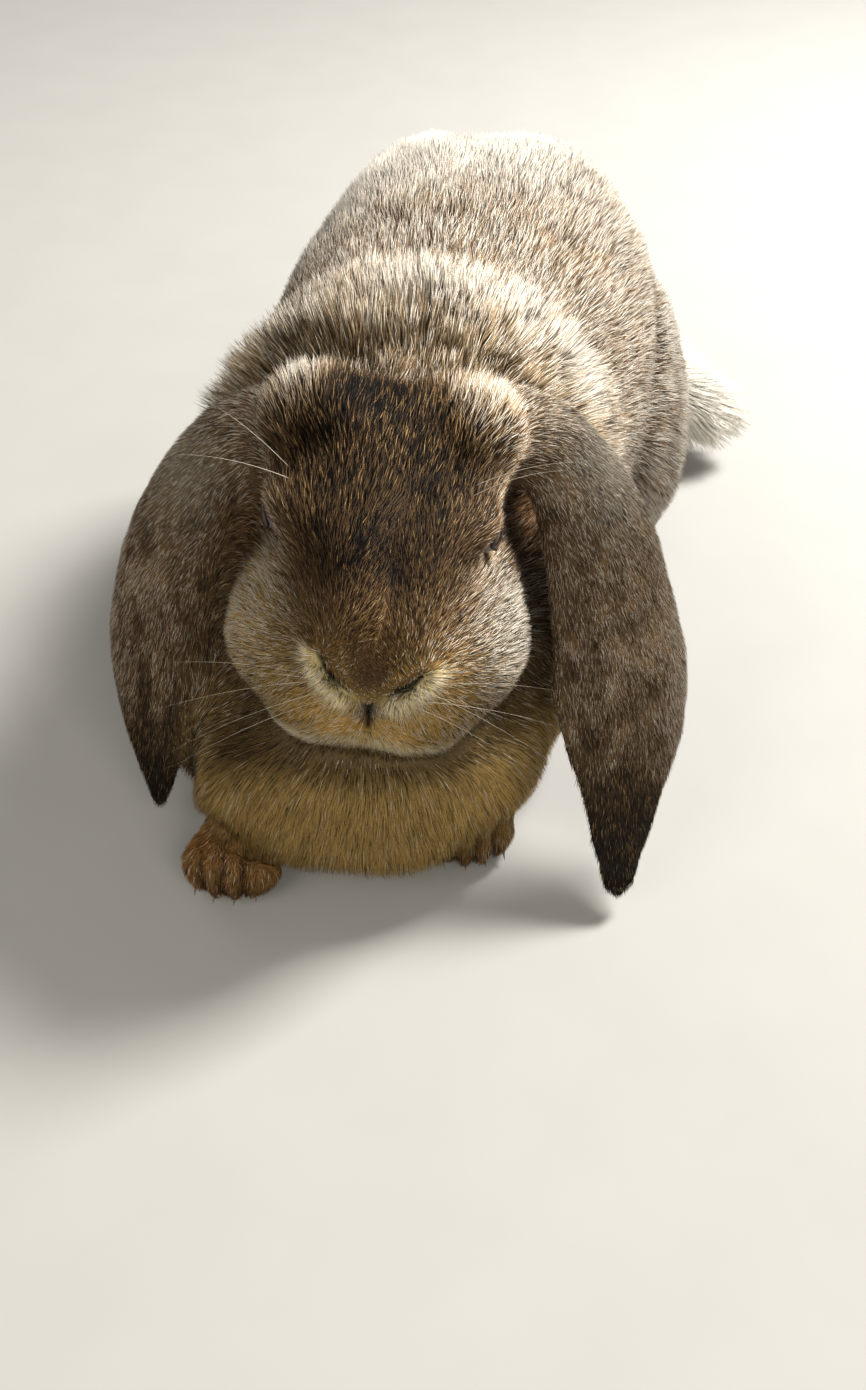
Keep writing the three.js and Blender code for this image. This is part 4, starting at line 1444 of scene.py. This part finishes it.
def tubes(name, lines, thickness, sides, closed=False):
    """Round tapering rods along lines; each line is its places and the share of the thickness there."""
    curve = bpy.data.curves.new(name, "CURVE")
    curve.dimensions = "3D"
    curve.bevel_depth = thickness
    curve.bevel_resolution = sides // 4
    curve.use_fill_caps = not closed
    for places, shares in lines:
        rod = curve.splines.new("POLY")
        rod.points.add(len(places) - 1)
        rod.points.foreach_set("co", np.hstack([places, np.ones((len(places), 1))]).ravel())
        rod.points.foreach_set("radius", np.broadcast_to(shares, len(places)).astype(float))
        rod.use_cyclic_u = closed
    mould = add_object(name, curve)
    graph = bpy.context.evaluated_depsgraph_get()
    mesh = bpy.data.meshes.new_from_object(mould.evaluated_get(graph))
    bpy.data.objects.remove(mould)
    mesh.materials.clear()
    mesh.shade_smooth()
    return add_object(name, mesh)


IRIS_SHARE = 0.80    # iris and pupil sizes across the eyeball, in eye radii
PUPIL_SHARE = 0.38
CORNEA_SWELL = 0.07
IRIS_COLOUR = srgb("3a2012")
IRIS_RIM = srgb("1a100b")
EYE_WHITE = srgb("6d5a4c")
PUPIL_COLOUR = srgb("050303")


def eye_colours(front, across, turn):
    """Iris streaked in rays, its dark rim, the white behind it and the pupil."""
    streak = 1 + 0.22 * np.sin(turn * 31) * np.sin(turn * 13 + across * 9)
    iris = IRIS_COLOUR * streak[:, None]
    rim = ramp(across, IRIS_SHARE - 0.10, IRIS_SHARE)[:, None]
    colour = iris * (1 - rim) + IRIS_RIM * rim
    white = ramp(across, IRIS_SHARE + 0.04, IRIS_SHARE + 0.12) * (front > 0) + (front <= 0)
    white = white.clip(0, 1)[:, None]
    colour = colour * (1 - white) + EYE_WHITE * white
    pupil = fall(across, PUPIL_SHARE - 0.04, PUPIL_SHARE + 0.02)[:, None] * (front > 0)[:, None]
    return colour * (1 - pupil) + PUPIL_COLOUR * pupil


def build_eye(side, material):
    """An eyeball with a swollen cornea, its iris and pupil coloured in rings about its outward axis."""
    outward, along = eye_axes(side)[:2]
    ball = bmesh.new()
    bmesh.ops.create_uvsphere(ball, u_segments=48, v_segments=40, radius=EYE_RADIUS)
    mesh = bpy.data.meshes.new("eyeball_" + side)
    ball.to_mesh(mesh)
    ball.free()
    local = coordinates(mesh)
    front = local[:, 2] / EYE_RADIUS
    across = np.hypot(local[:, 0], local[:, 1]) / EYE_RADIUS
    swell = 1 + CORNEA_SWELL * ramp(front, 0.55, 0.95)
    axes = np.array([along, np.cross(outward, along), outward])
    move_to(mesh, EYES[side] + (local * swell[:, None]) @ axes)
    paint(mesh, eye_colours(front, across, np.arctan2(local[:, 1], local[:, 0])))
    mesh.shade_smooth()
    piece = add_object("eyeball_" + side, mesh)
    finish_piece(piece, material)
    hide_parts("eye_" + side)


LID_ROD = 0.75 * MM
LID_SUNK = 0.2 * MM


def build_lid(side, material):
    """The bare rim of the two lids, round the opening."""
    outward, along, up = eye_axes(side)
    turns = np.linspace(0, 2 * math.pi, 48, endpoint=False)
    across = LID_LONG * np.cos(turns)
    height = lid_edge(across) * np.sign(np.sin(turns)) * np.abs(np.sin(turns)) ** 0.2
    height = np.where(np.abs(np.sin(turns)) < 1e-6, 0, height)
    front = np.sqrt(np.clip(1 - across ** 2 - height ** 2, 0.05, 1))
    ring = across[:, None] * along + height[:, None] * up + front[:, None] * outward
    places = EYES[side] + (LID_RADIUS - LID_SUNK) * ring
    finish_piece(tubes("eyelid_" + side, [(places, 1.0)], LID_ROD, 8, True), material)


CLAW_LENGTH = 7.5 * MM
CLAW_RADIUS = 1.1 * MM
CLAW_RISE = 5.5 * MM + 1 * MM     # the toe's middle, and a little above it
CLAW_BACK = 8.5 * MM
CLAW_DROP = (0.12, 0.38)      # how it slopes and curves down, in claw lengths
CLAW_FLOOR = 0.7 * MM


def claw_lines():
    """Curved claws, four on each foot, from inside the toe down towards the floor."""
    lines = []
    share = np.linspace(0, 1, 9)
    drop = -CLAW_DROP[0] * share - CLAW_DROP[1] * share ** 2
    up = np.array([0, 0, 1])
    for foot in FEET:
        front, across, back = foot_frame(foot)
        for step in TOE_STEPS:
            root = front + step * TOE_SPREAD * across + (step ** 2 * 1.6 - 1) * MM * back
            root = root + CLAW_RISE * up + CLAW_BACK * back
            places = root + CLAW_LENGTH * (-share[:, None] * back + drop[:, None] * up)
            places[:, 2] = np.maximum(places[:, 2], CLAW_FLOOR)
            lines.append((places, (1 - share ** 1.6) * 0.97 + 0.03))
    return lines


WHISKERS = 5
BROW_WHISKERS = 2
WHISKER_RADIUS = 0.075 * MM
WHISKER_BEND = np.array([0, 0.20, -0.34])     # back and down, in whisker lengths


def whisker_spots(sign):
    """Start, aim, length and thickness of one side's whiskers, in the head's frame in millimetres."""
    spots = []
    for n in range(WHISKERS):
        row, place = divmod(n, 3)
        start = (3.5 + sign * (14 + 4.2 * place + 1.5 * row), 4 + place * 2.5, 122 - 6.5 * row)
        aim = (sign * (0.95 - 0.10 * row), -0.30 + 0.14 * place, 0.18 - 0.28 * row)
        spots.append((start, aim, 46 + 26 * CHANCE.random(), 0.8))
    for n in range(BROW_WHISKERS):
        aim = (sign * 0.9, -0.30 + 0.2 * n, 0.60 + 0.1 * n)
        spots.append(((sign * 36, 56 + 5 * n, 180), aim, 52 + 14 * CHANCE.random(), 1.4))
    return spots


def whisker_lines(tree):
    """Long bristles from the whisker pads and above the eyes, curving back and down."""
    lines = []
    share = np.linspace(0, 1, 14)
    for sign in (-1, 1):
        for start, aim, length, weight in whisker_spots(sign):
            root, outward = tree.find_nearest(Vector(from_head([start])[0]))[:2]
            heading = unit(np.array(aim) + 0.12 * CHANCE.standard_normal(3)) @ HEAD_AXES
            heading = unit(heading + 0.25 * np.array(outward))
            bend = WHISKER_BEND @ HEAD_AXES * length * MM
            places = np.array(root) + share[:, None] * length * MM * heading + share[:, None] ** 2 * bend
            lines.append((places, weight * (1 - 0.85 * share)))
    return lines


skin_tree = BVHTree.FromPolygons(skin["points"].tolist(), skin["corners"].tolist())
eye_finish = eye_material()
bare_finish = plain_material("bare_skin", "2c1e18", "1a110d", 900, 0.45)
for eye_side in EYES:
    build_eye(eye_side, eye_finish)
    build_lid(eye_side, bare_finish)
finish_piece(tubes("claws", claw_lines(), CLAW_RADIUS, 12),
             plain_material("claw", "6b5745", "43352a", 500, 0.35))
finish_piece(tubes("whiskers", whisker_lines(skin_tree), WHISKER_RADIUS, 4),
             plain_material("whisker", "d8d0c0", "b0a590", 200, 0.5))


# ---------------------------------------------------------------- floor, light and camera

CAMERA_PLACE = (-0.01606, -0.60744, 0.500)
CAMERA_TILT = 48.0
CAMERA_LENS = 38.85
LIGHT_AIM = (0, 0, 0.1)
LIGHTS = [  # name, place, power in watts, width, tint
    ("key", (0.95, 0.55, 1.3), 76, 0.45, (1.0, 0.985, 0.965)),
    ("fill", (-1.2, -1.2, 1.1), 16, 1.2, (1.0, 0.96, 0.88)),
    ("front", (0.5, -1.6, 1.1), 17, 0.9, (1.0, 0.965, 0.89)),
    ("back", (-1.3, 1.2, 0.9), 9, 1.2, (1.0, 0.98, 0.95)),
]
WORLD_TINT = (1.0, 0.98, 0.95, 1)
WORLD_STRENGTH = 0.22
FLOOR_HALF = 3


def build_floor():
    """A wide pale floor."""
    plate = bmesh.new()
    bmesh.ops.create_grid(plate, x_segments=1, y_segments=1, size=FLOOR_HALF)
    mesh = bpy.data.meshes.new("floor")
    plate.to_mesh(mesh)
    plate.free()
    mesh.materials.append(plain_material("floor", "a19f9a", "9c9a95", 20, 0.85, 0.15))
    add_object("floor", mesh)


def build_lights():
    """Four soft lights and an even pale surround."""
    for name, place, power, size, tint in LIGHTS:
        light = bpy.data.lights.new(name, "AREA")
        light.energy = power
        light.size = size
        light.color = tint
        lamp = add_object(name, light)
        lamp.location = place
        lamp.rotation_euler = (Vector(LIGHT_AIM) - Vector(place)).to_track_quat("-Z", "Y").to_euler()
    world = bpy.data.worlds.new("studio")
    world.use_nodes = True
    surround = world.node_tree.nodes["Background"]
    surround.inputs["Color"].default_value = WORLD_TINT
    surround.inputs["Strength"].default_value = WORLD_STRENGTH
    bpy.context.scene.world = world
    bpy.context.scene.view_settings.view_transform = "Standard"


def build_camera():
    """The camera, looking down at the rabbit's face."""
    lens = bpy.data.cameras.new("camera")
    lens.lens = CAMERA_LENS
    camera = add_object("camera", lens)
    camera.location = CAMERA_PLACE
    camera.rotation_euler = (math.radians(CAMERA_TILT), 0, 0)
    bpy.context.scene.camera = camera


build_floor()
build_lights()
build_camera()
